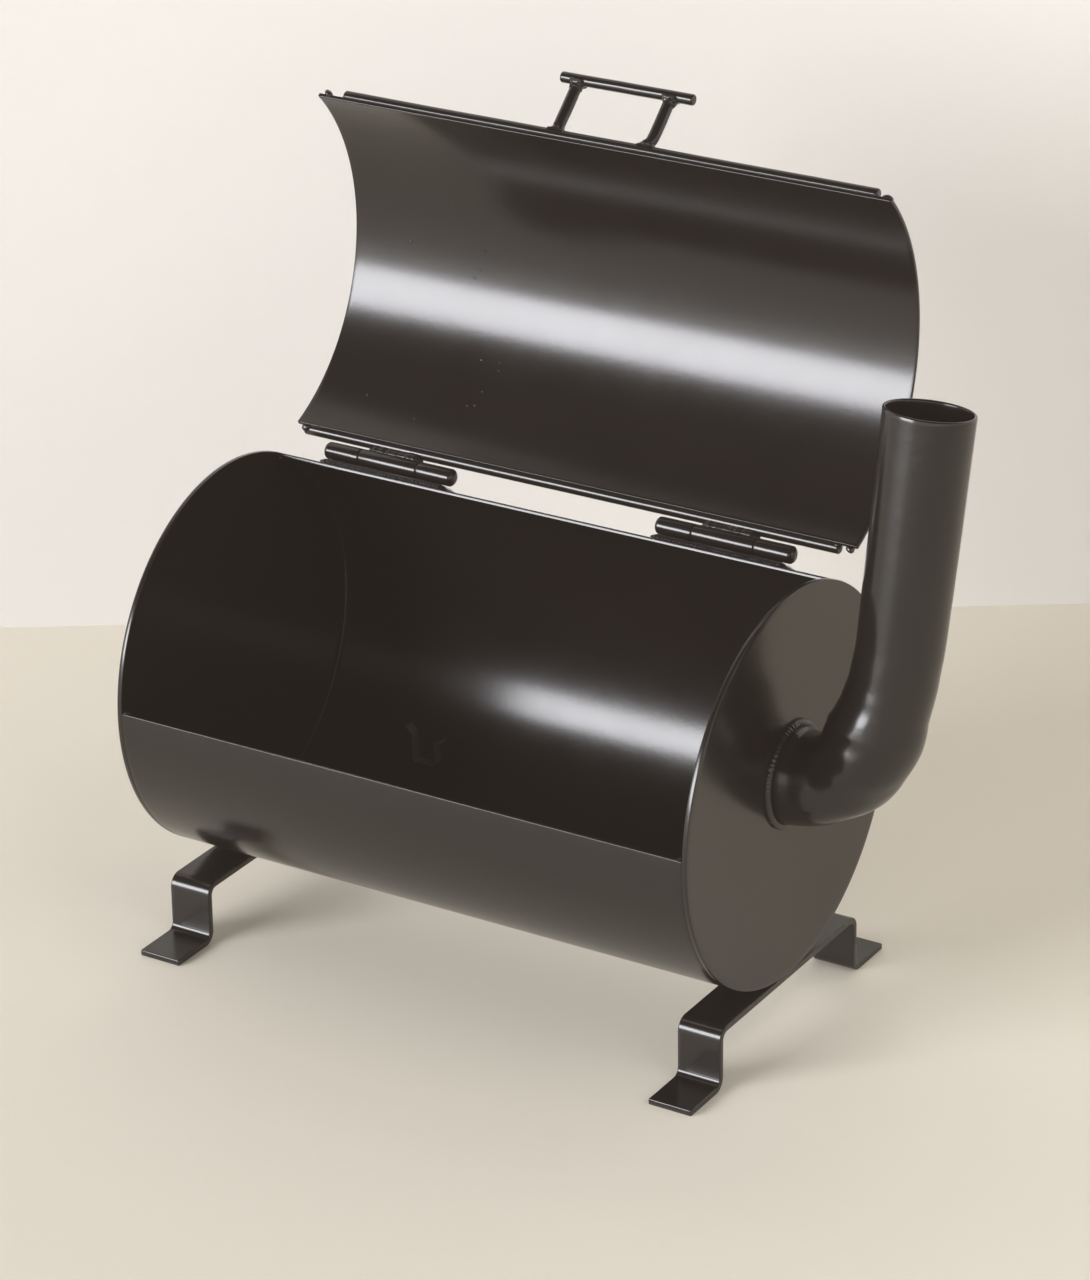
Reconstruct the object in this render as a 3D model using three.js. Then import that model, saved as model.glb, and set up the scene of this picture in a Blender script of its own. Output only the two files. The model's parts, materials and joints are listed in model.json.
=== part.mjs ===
// Table-top barrel smoker: a drum on two bent feet, a hinged half-round lid that stands open,
// and a chimney that leaves the right end disc and turns upwards.
//
// Millimetres, +Z up. The barrel axis runs along X; the lid opens from the front (-Y) to the
// back (+Y). Angles round the barrel are counted from straight back (+Y), up over the top (+Z).

import * as THREE from 'three';
import { mergeVertices } from 'three/addons/utils/BufferGeometryUtils.js';

// ---------------------------------------------------------------- driving dimensions

// Barrel
const barrelLength = 250; // over both end discs
const barrelRadius = 78; // outside of the shell and of the discs
const shellSheet = 1.5;
const discThickness = 2;
const rearRimAngle = 66.5; // where the cooking opening starts, behind the top
const frontRimAngle = 178.1; // where it ends, at the front
const seamWeld = 1.6; // leg of the weld in the corner of shell and disc
const jointGap = 0.3; // left between pieces that are welded to, or rest on, each other

// Feet: flat bar, bent down and outwards at both ends
const footWidth = 18.2;
const footThickness = 2.5;
const footInset = 10.3; // foot centre line in from the end of the barrel
const footSpan = 107; // from leg to leg, over the outside faces
const footPad = 21.5; // how far a pad reaches beyond its leg
const footHeight = 25.4; // ground to the top face of the bar
const footBend = 4; // bend radius on the centre line of the bar
const footSetBack = 1.5; // middle of the feet behind the barrel axis
const footWeldLength = 26;
const footWeldLeg = 2.2;

// Chimney: thin tube, bent once
const chimneyRadius = 17.3;
const chimneyWall = 1.3;
const chimneyHeightOffset = 2; // tube centre above the barrel axis where it leaves the disc
const chimneyStub = 3; // straight run before the bend
const chimneyBend = 33.4; // bend radius on the centre line
const chimneyStack = 115.9; // straight run above the bend
const chimneyLeanBack = 10.3; // degrees that the stack leans to the rear
const chimneyLeanOut = 1.7; // degrees that it leans away from the barrel
const collarWidth = 3.2; // weld collar round the root of the chimney
const collarHeight = 2.8;

// Hinges: weld-on bullet hinges of three knuckles
const hingeAngle = 57.9; // round the barrel
const hingeSpread = 150; // between the middles of the two hinges
const knuckleRadius = 3.5;
const endKnuckleLength = 16.5;
const midKnuckleLength = 26.5;
const knuckleTip = 2.2; // length of the rounded nose of an end knuckle
const pinRadius = 1.5;
const pinGrip = 12; // how deep the pin sits in an end knuckle
const leafThickness = 1.4; // seat plate between hinge and barrel
const leafWidth = 8;

// Lid
const lidSheet = 1.5;
const lidClearance = 0.8; // inside of the shut lid to the barrel
const lidRearLap = 3.7; // degrees that the shut lid covers past the rear rim
const lidFrontGap = 3.1; // and stops short of the front rim
const lidOpening = 128; // degrees from shut to standing open
const rodRadius = 2.35; // stiffening rods along the lid's long edges
const rearRodSetBack = 1; // rod centre line in from the edge of the sheet
const frontRodSetBack = 6.9;
const frontRodInset = 8.5; // rod end in from the end of the lid
const rearRodInset = 5;
const tabThickness = 2; // web that joins a middle knuckle to the rear rod

// Handle
const handleRadius = 2.3;
const handleLength = 58;
const handleReach = 25.2; // front rod centre line to bar centre line
const handlePostSpread = 40.5;
const handleOffset = -1.4; // middle of the posts to the middle of the lid
const handleShift = 1; // bar centre to the right of the middle of the posts
const handleKinkHeight = 5.5; // the right post is bent this far above its foot
const handleKinkShift = 2.2; // and its foot stands this far inwards
const handleWeldLength = 2.6;
const handleWeldFlare = 1.3;

// Spring clip inside the barrel
const clipX = -67;
const clipAngle = -51.3; // round the barrel
const clipStrip = 0.8;
const clipDepth = 4;
const clipMouth = 10.5; // between the centre lines of its legs
const clipLeftLeg = 15;
const clipRightLeg = 11.5;
const clipLip = 3; // sideways reach of each flared lip
const clipBend = 2.6;

// ---------------------------------------------------------------- sizes that follow

const radians = THREE.MathUtils.degToRad;
const barrelEnd = barrelLength / 2;
const shellInside = barrelRadius - shellSheet;
const shellEnd = barrelEnd - discThickness - jointGap;
const barTop = -(barrelRadius + jointGap);
const ground = barTop - footHeight;
const footX = barrelEnd - footInset;
const lidInside = barrelRadius + lidClearance;
const lidOutside = lidInside + lidSheet;
const lidRearAngle = rearRimAngle - lidRearLap;
const lidFrontAngle = frontRimAngle - lidFrontGap;
const rodRing = lidOutside + jointGap + rodRadius;
const roundRodRing = (distance) => THREE.MathUtils.radToDeg(distance / rodRing);
const rearRodAngle = lidRearAngle + roundRodRing(rearRodSetBack);
const frontRodAngle = lidFrontAngle - roundRodRing(frontRodSetBack);
const leafSeat = barrelRadius + jointGap;
const hingeRing = leafSeat + leafThickness + jointGap + knuckleRadius;
const hingeLength = midKnuckleLength + 2 * (endKnuckleLength + jointGap);
const boreRadius = pinRadius + jointGap;

const polar = (radius, degrees) => new THREE.Vector2(
  radius * Math.cos(radians(degrees)),
  radius * Math.sin(radians(degrees)),
);
const hingeCentre = polar(hingeRing, hingeAngle);

// ---------------------------------------------------------------- materials

const paint = (colour, roughness, metalness = 0) =>
  new THREE.MeshStandardMaterial({ color: colour, roughness, metalness });
const glossBlack = () => paint(0x1b1714, 0.28);
const weldBlack = () => paint(0x1d1916, 0.36);
const sootBlack = () => paint(0x191512, 0.34);
const pinSteel = () => paint(0x5c5a57, 0.4, 0.9);

// ---------------------------------------------------------------- geometry helpers

// Welds shared corners together, drops slivers of no area and turns the faces outwards.
function closed(geometry) {
  geometry.deleteAttribute('normal');
  geometry.deleteAttribute('uv');
  const merged = mergeVertices(geometry, 1e-4);
  const position = merged.getAttribute('position');
  const corner = (index) => new THREE.Vector3().fromBufferAttribute(position, index);
  const kept = [];
  let volume = 0;
  for (let i = 0; i < merged.index.count; i += 3) {
    const [a, b, c] = [0, 1, 2].map((k) => merged.index.getX(i + k));
    if (a === b || b === c || c === a) continue;
    kept.push([a, b, c]);
    volume += corner(a).dot(corner(b).cross(corner(c)));
  }
  const facing = volume > 0 ? kept : kept.map(([a, b, c]) => [a, c, b]);
  merged.setIndex(facing.flat());
  merged.computeVertexNormals();
  return merged;
}

// An outline drawn in the (Y, Z) plane, made a solid from x0 to x1.
const axesYZX = new THREE.Matrix4().makeBasis(
  new THREE.Vector3(0, 1, 0),
  new THREE.Vector3(0, 0, 1),
  new THREE.Vector3(1, 0, 0),
);
function alongX(shape, x0, x1, curveSegments = 12) {
  const geometry = new THREE.ExtrudeGeometry(shape, {
    depth: x1 - x0,
    bevelEnabled: false,
    curveSegments,
  });
  return geometry.applyMatrix4(axesYZX).translate(x0, 0, 0);
}

// A curved sheet between two radii and two angles round the barrel axis.
function curvedSheet(inside, outside, fromAngle, toAngle, x0, x1, segments) {
  const shape = new THREE.Shape();
  shape.absarc(0, 0, outside, radians(fromAngle), radians(toAngle), false);
  shape.absarc(0, 0, inside, radians(toAngle), radians(fromAngle), true);
  shape.closePath();
  return alongX(shape, x0, x1, segments);
}

// A flat disc across the barrel axis, with an optional round hole at (y, z).
function disc(radius, x0, x1, hole) {
  const shape = new THREE.Shape().absarc(0, 0, radius, 0, 2 * Math.PI, false);
  if (hole) {
    const cut = new THREE.Path().absarc(hole.y, hole.z, hole.radius, 0, 2 * Math.PI, true);
    shape.holes.push(cut);
  }
  return alongX(shape, x0, x1, 36);
}

// The outline of flat strip bent to a line of corners, with the same bend radius at each.
function bentStrip(corners, bendRadius, thickness, arcSteps = 6) {
  const line = [{ at: corners[0], along: corners[1].clone().sub(corners[0]).normalize() }];
  for (let i = 1; i < corners.length - 1; i += 1) {
    const into = corners[i].clone().sub(corners[i - 1]).normalize();
    const out = corners[i + 1].clone().sub(corners[i]).normalize();
    const turn = Math.atan2(into.cross(out), into.dot(out));
    const side = Math.sign(turn);
    const setBack = bendRadius * Math.tan(Math.abs(turn) / 2);
    const start = corners[i].clone().addScaledVector(into, -setBack);
    const toCentre = new THREE.Vector2(-into.y, into.x).multiplyScalar(side * bendRadius);
    const centre = start.clone().add(toCentre);
    for (let k = 0; k <= arcSteps; k += 1) {
      const angle = (turn * k) / arcSteps;
      const at = start.clone().rotateAround(centre, angle);
      const along = into.clone().rotateAround(new THREE.Vector2(), angle);
      line.push({ at, along });
    }
  }
  const last = corners.length - 1;
  line.push({ at: corners[last], along: corners[last].clone().sub(corners[last - 1]).normalize() });
  const edge = (side) => line.map(({ at, along }) => new THREE.Vector2(
    at.x - along.y * side * thickness / 2,
    at.y + along.x * side * thickness / 2,
  ));
  return new THREE.Shape([...edge(-1), ...edge(1).reverse()]);
}

// A turned piece: the profile is given as [radius, distance along X].
function turned(profile, sides = 20) {
  const points = profile.map(([radius, along]) => new THREE.Vector2(radius, along));
  const geometry = new THREE.LatheGeometry(points, sides);
  return geometry.rotateZ(-Math.PI / 2);
}

// A round rod along X, its ends slightly rounded off.
function rod(radius, length, sides = 16) {
  const edge = radius * 0.25;
  return turned([
    [0, -length / 2],
    [radius - edge, -length / 2],
    [radius, -length / 2 + edge],
    [radius, length / 2 - edge],
    [radius - edge, length / 2],
    [0, length / 2],
  ], sides);
}

function add(parent, name, geometry, material) {
  const mesh = new THREE.Mesh(closed(geometry), material);
  mesh.name = name;
  parent.add(mesh);
  return mesh;
}

function placeRound(mesh, x, radius, degrees) {
  const at = polar(radius, degrees);
  mesh.position.set(x, at.x, at.y);
  return mesh;
}

// ---------------------------------------------------------------- barrel

function addBarrel(parent) {
  add(
    parent,
    'barrel_shell',
    curvedSheet(shellInside, barrelRadius, frontRimAngle, rearRimAngle + 360, -shellEnd, shellEnd, 30),
    glossBlack(),
  );
  const discInside = barrelEnd - discThickness;
  add(parent, 'left_end_disc', disc(barrelRadius, -barrelEnd, -discInside), glossBlack());
  const flue = { y: 0, z: chimneyHeightOffset, radius: chimneyRadius - chimneyWall };
  add(parent, 'right_end_disc', disc(barrelRadius, discInside, barrelEnd, flue), glossBlack());

  const weldOutside = shellInside - jointGap;
  const weldEnd = discInside - jointGap;
  for (const [name, x0] of [['left', -weldEnd], ['right', weldEnd - seamWeld]]) {
    add(
      parent,
      `${name}_seam_weld`,
      curvedSheet(
        weldOutside - seamWeld, weldOutside, frontRimAngle, rearRimAngle + 360, x0, x0 + seamWeld, 30,
      ),
      weldBlack(),
    );
  }
}

// ---------------------------------------------------------------- feet

function addFeet(parent) {
  const half = footThickness / 2;
  const legY = footSpan / 2 - half;
  const tipY = legY + footPad + half;
  const barLine = barTop - half;
  const padLine = ground + half;
  const corners = [
    [-tipY, padLine], [-legY, padLine], [-legY, barLine],
    [legY, barLine], [legY, padLine], [tipY, padLine],
  ].map(([y, z]) => new THREE.Vector2(y + footSetBack, z));
  for (const [name, x, inwards] of [['left', -footX, 1], ['right', footX, -1]]) {
    const strip = bentStrip(corners, footBend, footThickness);
    add(
      parent,
      `foot_strip_${name}`,
      alongX(strip, x - footWidth / 2, x + footWidth / 2),
      glossBlack(),
    );
    // Fillet weld between the underside of the barrel and the inner edge of the bar.
    const start = x + inwards * (footWidth / 2 + jointGap);
    const section = new THREE.Shape([
      new THREE.Vector2(start, barTop),
      new THREE.Vector2(start + inwards * footWeldLeg, barTop),
      new THREE.Vector2(start, barTop - footWeldLeg),
    ]);
    const bead = new THREE.ExtrudeGeometry(section, { depth: footWeldLength, bevelEnabled: false });
    bead.rotateX(Math.PI / 2);
    bead.translate(0, footWeldLength / 2, 0);
    add(parent, `foot_weld_${name}`, bead, weldBlack());
  }
}

// ---------------------------------------------------------------- chimney

// A circular bend from one direction to a second one, starting at a point.
class Bend extends THREE.Curve {
  constructor(start, along, across, radius, turn) {
    super();
    Object.assign(this, { start, along, across, radius, turn });
  }

  getPoint(t, target = new THREE.Vector3()) {
    const angle = this.turn * t;
    return target.copy(this.start)
      .addScaledVector(this.along, this.radius * Math.sin(angle))
      .addScaledVector(this.across, this.radius * (1 - Math.cos(angle)));
  }
}

function addChimney(parent) {
  const root = new THREE.Vector3(barrelEnd + jointGap, 0, chimneyHeightOffset);
  const outwards = new THREE.Vector3(1, 0, 0);
  const lean = radians(chimneyLeanBack);
  const upwards = new THREE.Vector3(0, Math.sin(lean), Math.cos(lean));
  const turn = radians(90 - chimneyLeanOut);
  const bendStart = root.clone().addScaledVector(outwards, chimneyStub);
  const bend = new Bend(bendStart, outwards, upwards, chimneyBend, turn);
  const bendEnd = bend.getPoint(1);
  const stackWay = outwards.clone().multiplyScalar(Math.cos(turn))
    .addScaledVector(upwards, Math.sin(turn));
  const top = bendEnd.clone().addScaledVector(stackWay, chimneyStack);

  const path = new THREE.CurvePath();
  path.add(new THREE.LineCurve3(root, bendStart));
  path.add(bend);
  path.add(new THREE.LineCurve3(bendEnd, top));

  const section = new THREE.Shape().absarc(0, 0, chimneyRadius, 0, 2 * Math.PI, false);
  const bore = chimneyRadius - chimneyWall;
  section.holes.push(new THREE.Path().absarc(0, 0, bore, 0, 2 * Math.PI, true));
  const tube = new THREE.ExtrudeGeometry(section, { extrudePath: path, steps: 22, curveSegments: 14 });
  add(parent, 'chimney_pipe', tube, sootBlack());

  const inner = chimneyRadius + jointGap;
  const collar = turned([
    [inner, 0],
    [inner + collarWidth, 0],
    [inner + collarWidth * 0.8, collarHeight * 0.45],
    [inner + collarWidth * 0.35, collarHeight * 0.9],
    [inner, collarHeight],
    [inner, 0],
  ], 28);
  add(parent, 'chimney_collar', collar, weldBlack()).position.copy(root);
}

// ---------------------------------------------------------------- hinges

function endKnuckle() {
  const nose = 5;
  const profile = [
    [0, pinGrip],
    [boreRadius, pinGrip],
    [boreRadius, 0],
    [knuckleRadius, 0],
  ];
  for (let k = 0; k <= nose; k += 1) {
    const angle = (k / nose) * (Math.PI / 2);
    const radius = k === nose ? 0 : knuckleRadius * Math.cos(angle);
    profile.push([radius, endKnuckleLength - knuckleTip + knuckleTip * Math.sin(angle)]);
  }
  return turned(profile, 20);
}

function addHinges(parent) {
  const leafShape = new THREE.Shape([
    new THREE.Vector2(leafSeat, -leafWidth / 2),
    new THREE.Vector2(leafSeat + leafThickness, -leafWidth / 2 + leafThickness),
    new THREE.Vector2(leafSeat + leafThickness, leafWidth / 2 - leafThickness),
    new THREE.Vector2(leafSeat, leafWidth / 2),
  ]);
  for (const [name, x] of [['left', -hingeSpread / 2], ['right', hingeSpread / 2]]) {
    const leaf = alongX(leafShape, x - hingeLength / 2, x + hingeLength / 2);
    leaf.rotateX(radians(hingeAngle));
    add(parent, `hinge_${name}_leaf`, leaf, glossBlack());

    const knuckleStart = midKnuckleLength / 2 + jointGap;
    const near = add(parent, `hinge_${name}_knuckle_near`, endKnuckle().rotateY(Math.PI), glossBlack());
    placeRound(near, x - knuckleStart, hingeRing, hingeAngle);
    const far = add(parent, `hinge_${name}_knuckle_far`, endKnuckle(), glossBlack());
    placeRound(far, x + knuckleStart, hingeRing, hingeAngle);

    const pinLength = 2 * (knuckleStart + pinGrip - jointGap);
    const pin = add(parent, `hinge_${name}_pin`, rod(pinRadius, pinLength, 12), pinSteel());
    placeRound(pin, x, hingeRing, hingeAngle);
  }
}

// ---------------------------------------------------------------- clip

function addClip(parent) {
  const seat = polar(shellInside, clipAngle);
  const shellHeight = (y) => -Math.sqrt(shellInside ** 2 - y ** 2);
  const underside = shellHeight(seat.x + clipDepth / 2) + jointGap;
  const base = underside + clipStrip / 2;
  const half = clipMouth / 2;
  const corners = [
    [-half - clipLip, base + clipLeftLeg],
    [-half, base + clipLeftLeg - clipLip],
    [-half, base],
    [half, base],
    [half, base + clipRightLeg - clipLip / 2],
    [half + clipLip, base + clipRightLeg],
  ].map(([x, z]) => new THREE.Vector2(x, z));
  const strip = new THREE.ExtrudeGeometry(bentStrip(corners, clipBend / 2, clipStrip, 4), {
    depth: clipDepth,
    bevelEnabled: false,
  });
  strip.rotateX(Math.PI / 2);
  strip.translate(clipX, seat.x + clipDepth / 2, 0);
  add(parent, 'clip_strip', strip, glossBlack());

  // Weld that fills the wedge between the level clip and the sloping shell.
  const floor = shellInside - jointGap;
  const level = underside - jointGap;
  const shallow = -Math.acos(Math.sqrt(floor ** 2 - level ** 2) / floor);
  const deep = -Math.acos((seat.x - clipDepth / 2) / floor);
  const wedge = new THREE.Shape();
  wedge.moveTo(seat.x - clipDepth / 2, level);
  wedge.absarc(0, 0, floor, deep, shallow, false);
  wedge.closePath();
  const reach = clipMouth / 2 - clipBend / 2;
  add(parent, 'clip_weld', alongX(wedge, clipX - reach, clipX + reach, 6), weldBlack());
}

// ---------------------------------------------------------------- lid, drawn shut on the barrel

function addLid(parent) {
  add(
    parent,
    'lid_shell',
    curvedSheet(lidInside, lidOutside, lidRearAngle, lidFrontAngle, -barrelEnd, barrelEnd, 18),
    glossBlack(),
  );
  const rearLength = barrelLength - 2 * rearRodInset;
  const rear = add(parent, 'lid_rear_rod', rod(rodRadius, rearLength), glossBlack());
  placeRound(rear, 0, rodRing, rearRodAngle);
  const frontLength = barrelLength - 2 * frontRodInset;
  const front = add(parent, 'lid_front_rod', rod(rodRadius, frontLength), glossBlack());
  placeRound(front, 0, rodRing, frontRodAngle);

  const rodCentre = polar(rodRing, rearRodAngle);
  const toRod = rodCentre.clone().sub(hingeCentre);
  const webStart = knuckleRadius + jointGap;
  const webEnd = toRod.length() - rodRadius - jointGap;
  const webShape = new THREE.Shape([
    new THREE.Vector2(webStart, -tabThickness / 2),
    new THREE.Vector2(webEnd, -tabThickness / 2),
    new THREE.Vector2(webEnd, tabThickness / 2),
    new THREE.Vector2(webStart, tabThickness / 2),
  ]);
  for (const [name, x] of [['left', -hingeSpread / 2], ['right', hingeSpread / 2]]) {
    const half = midKnuckleLength / 2;
    const knuckle = turned([
      [boreRadius, -half],
      [knuckleRadius, -half],
      [knuckleRadius, half],
      [boreRadius, half],
      [boreRadius, -half],
    ], 20);
    const middle = add(parent, `hinge_${name}_knuckle_middle`, knuckle, glossBlack());
    placeRound(middle, x, hingeRing, hingeAngle);

    const web = alongX(webShape, x - half, x + half);
    web.rotateX(toRod.angle());
    web.translate(0, hingeCentre.x, hingeCentre.y);
    add(parent, `hinge_${name}_tab`, web, glossBlack());
  }
}

// ---------------------------------------------------------------- handle

function addHandle(parent) {
  // Drawn standing up from the front rod along Y, then turned to point out of the lid.
  const handle = new THREE.Group();
  placeRound(handle, handleOffset, rodRing, frontRodAngle);
  handle.rotation.x = radians(frontRodAngle);
  parent.add(handle);

  const bar = add(handle, 'handle_bar', rod(handleRadius, handleLength, 20), glossBlack());
  bar.position.set(handleShift, handleReach, 0);

  const footAt = rodRadius + jointGap;
  const headAt = handleReach - handleRadius - jointGap;
  const round = new THREE.Shape().absarc(0, 0, handleRadius, 0, 2 * Math.PI, false);
  for (const [name, x, shift] of [
    ['left', -handlePostSpread / 2, 0],
    ['right', handlePostSpread / 2, -handleKinkShift],
  ]) {
    const path = new THREE.CurvePath();
    const foot = new THREE.Vector3(x + shift, footAt, 0);
    const head = new THREE.Vector3(x, headAt, 0);
    const upright = new THREE.Vector3(x + shift, handleKinkHeight, 0);
    if (shift === 0) {
      path.add(new THREE.LineCurve3(foot, head));
    } else {
      const above = new THREE.Vector3(x + shift / 2, handleKinkHeight * 1.6, 0);
      path.add(new THREE.QuadraticBezierCurve3(foot, upright, above));
      path.add(new THREE.LineCurve3(above, head));
    }
    const post = new THREE.ExtrudeGeometry(round, { extrudePath: path, steps: 6, curveSegments: 8 });
    add(handle, `handle_post_${name}`, post, glossBlack());

    const inner = handleRadius + 2 * jointGap;
    const flare = (start, sign) => turned([
      [inner, start],
      [inner + handleWeldFlare, start],
      [inner + handleWeldFlare * 0.4, start + sign * handleWeldLength * 0.6],
      [inner, start + sign * handleWeldLength],
      [inner, start],
    ], 16).rotateZ(Math.PI / 2);
    const low = add(handle, `handle_weld_${name}_foot`, flare(0, 1), weldBlack());
    low.position.set(x + shift, footAt, 0);
    const high = add(handle, `handle_weld_${name}_head`, flare(0, -1), weldBlack());
    high.position.set(x, headAt, 0);
  }
}

// ---------------------------------------------------------------- assembly

const smoker = new THREE.Group();
addBarrel(smoker);
addFeet(smoker);
addChimney(smoker);
addHinges(smoker);
addClip(smoker);

// The lid group turns about the hinge axis; its contents are drawn with the barrel axis as origin.
const lid = new THREE.Group();
lid.position.set(0, hingeCentre.x, hingeCentre.y);
lid.rotation.x = -radians(lidOpening);
smoker.add(lid);
const lidContents = new THREE.Group();
lidContents.position.set(0, -hingeCentre.x, -hingeCentre.y);
lid.add(lidContents);
addLid(lidContents);
addHandle(lidContents);

// Stand the whole on the ground, centred over the origin.
smoker.updateMatrixWorld(true);
const box = new THREE.Box3().setFromObject(smoker, true);
const middle = box.getCenter(new THREE.Vector3());
smoker.position.set(-middle.x, -middle.y, -box.min.z);

export default smoker;
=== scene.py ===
"""A small barrel smoker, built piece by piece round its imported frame.

The drum lies on two bent feet, its half-round lid stands open on two bullet hinges and the
chimney leaves the right end plate. Metres, +Z up. Pieces are drawn about the drum axis:
angles round it are counted from straight back (+Y), up over the top (+Z). Lid pieces are
drawn shut and then swung open about the hinge line.
"""

import json
import math

import bmesh
import bpy
import numpy as np
from bpy.props import FloatProperty, FloatVectorProperty, IntProperty, PointerProperty
from mathutils import Matrix, Vector, noise


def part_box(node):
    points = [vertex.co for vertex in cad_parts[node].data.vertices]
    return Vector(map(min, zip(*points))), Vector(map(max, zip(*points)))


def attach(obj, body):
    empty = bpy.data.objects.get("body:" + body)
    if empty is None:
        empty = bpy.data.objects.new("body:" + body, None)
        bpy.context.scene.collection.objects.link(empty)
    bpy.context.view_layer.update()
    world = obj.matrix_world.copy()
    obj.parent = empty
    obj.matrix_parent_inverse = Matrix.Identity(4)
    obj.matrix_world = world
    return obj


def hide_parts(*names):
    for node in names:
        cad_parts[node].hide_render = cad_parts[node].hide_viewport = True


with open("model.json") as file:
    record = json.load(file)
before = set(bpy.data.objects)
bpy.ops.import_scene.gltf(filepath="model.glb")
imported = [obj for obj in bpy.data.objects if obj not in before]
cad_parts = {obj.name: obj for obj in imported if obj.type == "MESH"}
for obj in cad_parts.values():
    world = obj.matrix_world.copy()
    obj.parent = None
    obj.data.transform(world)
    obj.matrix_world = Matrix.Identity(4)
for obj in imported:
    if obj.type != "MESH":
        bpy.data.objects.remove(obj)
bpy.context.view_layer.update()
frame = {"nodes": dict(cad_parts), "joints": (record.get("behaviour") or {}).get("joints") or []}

bl_info = {
    "name": "Barrel smoker",
    "version": (1, 0, 0),
    "blender": (4, 5, 0),
    "location": "3D View > Sidebar > Smoker",
    "description": "Builds a small barrel smoker piece by piece round its packed frame",
    "category": "Object",
}

MM = 0.001
NOISE_SEED = 11

# ------------------------------------------------------------------ facts from the frame

left_low, left_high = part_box("left_end_disc")
right_low, right_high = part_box("right_end_disc")
AXIS = Vector((
    (left_low.x + right_high.x) / 2,
    (left_low.y + left_high.y) / 2,
    (left_low.z + left_high.z) / 2,
))
DRUM_RADIUS = (left_high.z - left_low.z) / 2
HALF_LENGTH = (right_high.x - left_low.x) / 2
PLATE = left_high.x - left_low.x
HINGE = Vector(frame["joints"][0]["pos_m"])
LID_SWING = math.radians(frame["joints"][0]["range_deg"][1])

ON_DRUM = Matrix.Translation(AXIS)
ON_LID = (
    Matrix.Translation(HINGE)
    @ Matrix.Rotation(-LID_SWING, 4, "X")
    @ Matrix.Translation(AXIS - HINGE)
)
BODY_PLACE = {"barrel": ON_DRUM, "lid": ON_LID}
X_WAY, Y_WAY, Z_WAY = Vector((1, 0, 0)), Vector((0, 1, 0)), Vector((0, 0, 1))


def outward(angle):
    """The direction away from the drum axis at an angle round it."""
    return Vector((0, math.cos(angle), math.sin(angle)))


def round_way(angle):
    """The direction round the drum at an angle, towards larger angles."""
    return Vector((0, -math.sin(angle), math.cos(angle)))


def at_round(x, radius, angle):
    """A point beside the drum axis."""
    return X_WAY * x + outward(angle) * radius


# ------------------------------------------------------------------ sizes and colours to change


def length(name, description, default):
    """A length that the panel shows with its unit."""
    return FloatProperty(
        name=name, description=description, default=default, min=0, precision=4, unit="LENGTH"
    )


def angle(name, description, degrees):
    """An angle, given here in degrees."""
    return FloatProperty(
        name=name, description=description, default=math.radians(degrees), subtype="ANGLE"
    )


def colour(name, description, red, green, blue):
    """A scene-linear colour."""
    return FloatVectorProperty(
        name=name,
        description=description,
        default=(red, green, blue),
        min=0,
        max=1,
        size=3,
        subtype="COLOR",
    )


def share(name, description, default, highest=1.0):
    """A plain number from zero up."""
    return FloatProperty(name=name, description=description, default=default, min=0, max=highest)


class SmokerDrumSizes(bpy.types.PropertyGroup):
    """The rolled drum sheet and its end plates."""

    sheet: length("Sheet", "Thickness of the rolled sheet", 1.5 * MM)
    gap: length("Joint gap", "Gap between pieces that are welded together", 0.3 * MM)
    rear_rim: angle("Rear rim", "Where the cooking opening starts, behind the top", 66.5)
    front_rim: angle("Front rim", "Where the cooking opening ends, at the front", 178.1)
    waviness: length("Waviness", "How far the sheet strays from a true cylinder", 0.16 * MM)
    edge: length("Edge", "Rounding of the sheet's cut edges", 0.28 * MM)
    plate_edge: length("Plate edge", "Rounding of the end plates' rims", 0.35 * MM)
    plate_warp: length("Plate warp", "How far the end plates stray from flat", 0.12 * MM)
    seam: length("Seam weld", "Width of the weld in the corner of sheet and plate", 2.0 * MM)


class SmokerLidSizes(bpy.types.PropertyGroup):
    """The lid sheet and the rods along its long edges."""

    sheet: length("Sheet", "Thickness of the lid sheet", 1.5 * MM)
    clearance: length("Clearance", "From the shut lid's inside to the drum", 0.8 * MM)
    rear_lap: angle("Rear lap", "How far the shut lid covers past the rear rim", 3.7)
    front_gap: angle("Front gap", "How far the shut lid stops short of the front rim", 4.1)
    waviness: length("Waviness", "How far the sheet strays from a true cylinder", 0.2 * MM)
    rod: length("Rod radius", "Radius of the stiffening rods", 2.35 * MM)
    front_set_back: length("Front rod set back", "Its centre in from the sheet's edge", 5.4 * MM)
    rear_set_back: length("Rear rod set back", "Its centre in from the sheet's edge", 1.0 * MM)
    front_rod_inset: length("Front rod inset", "Rod end in from the lid's end", 8.5 * MM)
    rear_rod_inset: length("Rear rod inset", "Rod end in from the lid's end", 5.5 * MM)
    rear_rod_shift: length("Rear rod shift", "How far the rear rod lies to the left", 3.0 * MM)
    nibs: IntProperty(name="Paint nibs", description="Grains under the paint", default=19, min=0)
    nib_size: length("Nib size", "Radius of the largest paint nib", 0.85 * MM)


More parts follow.
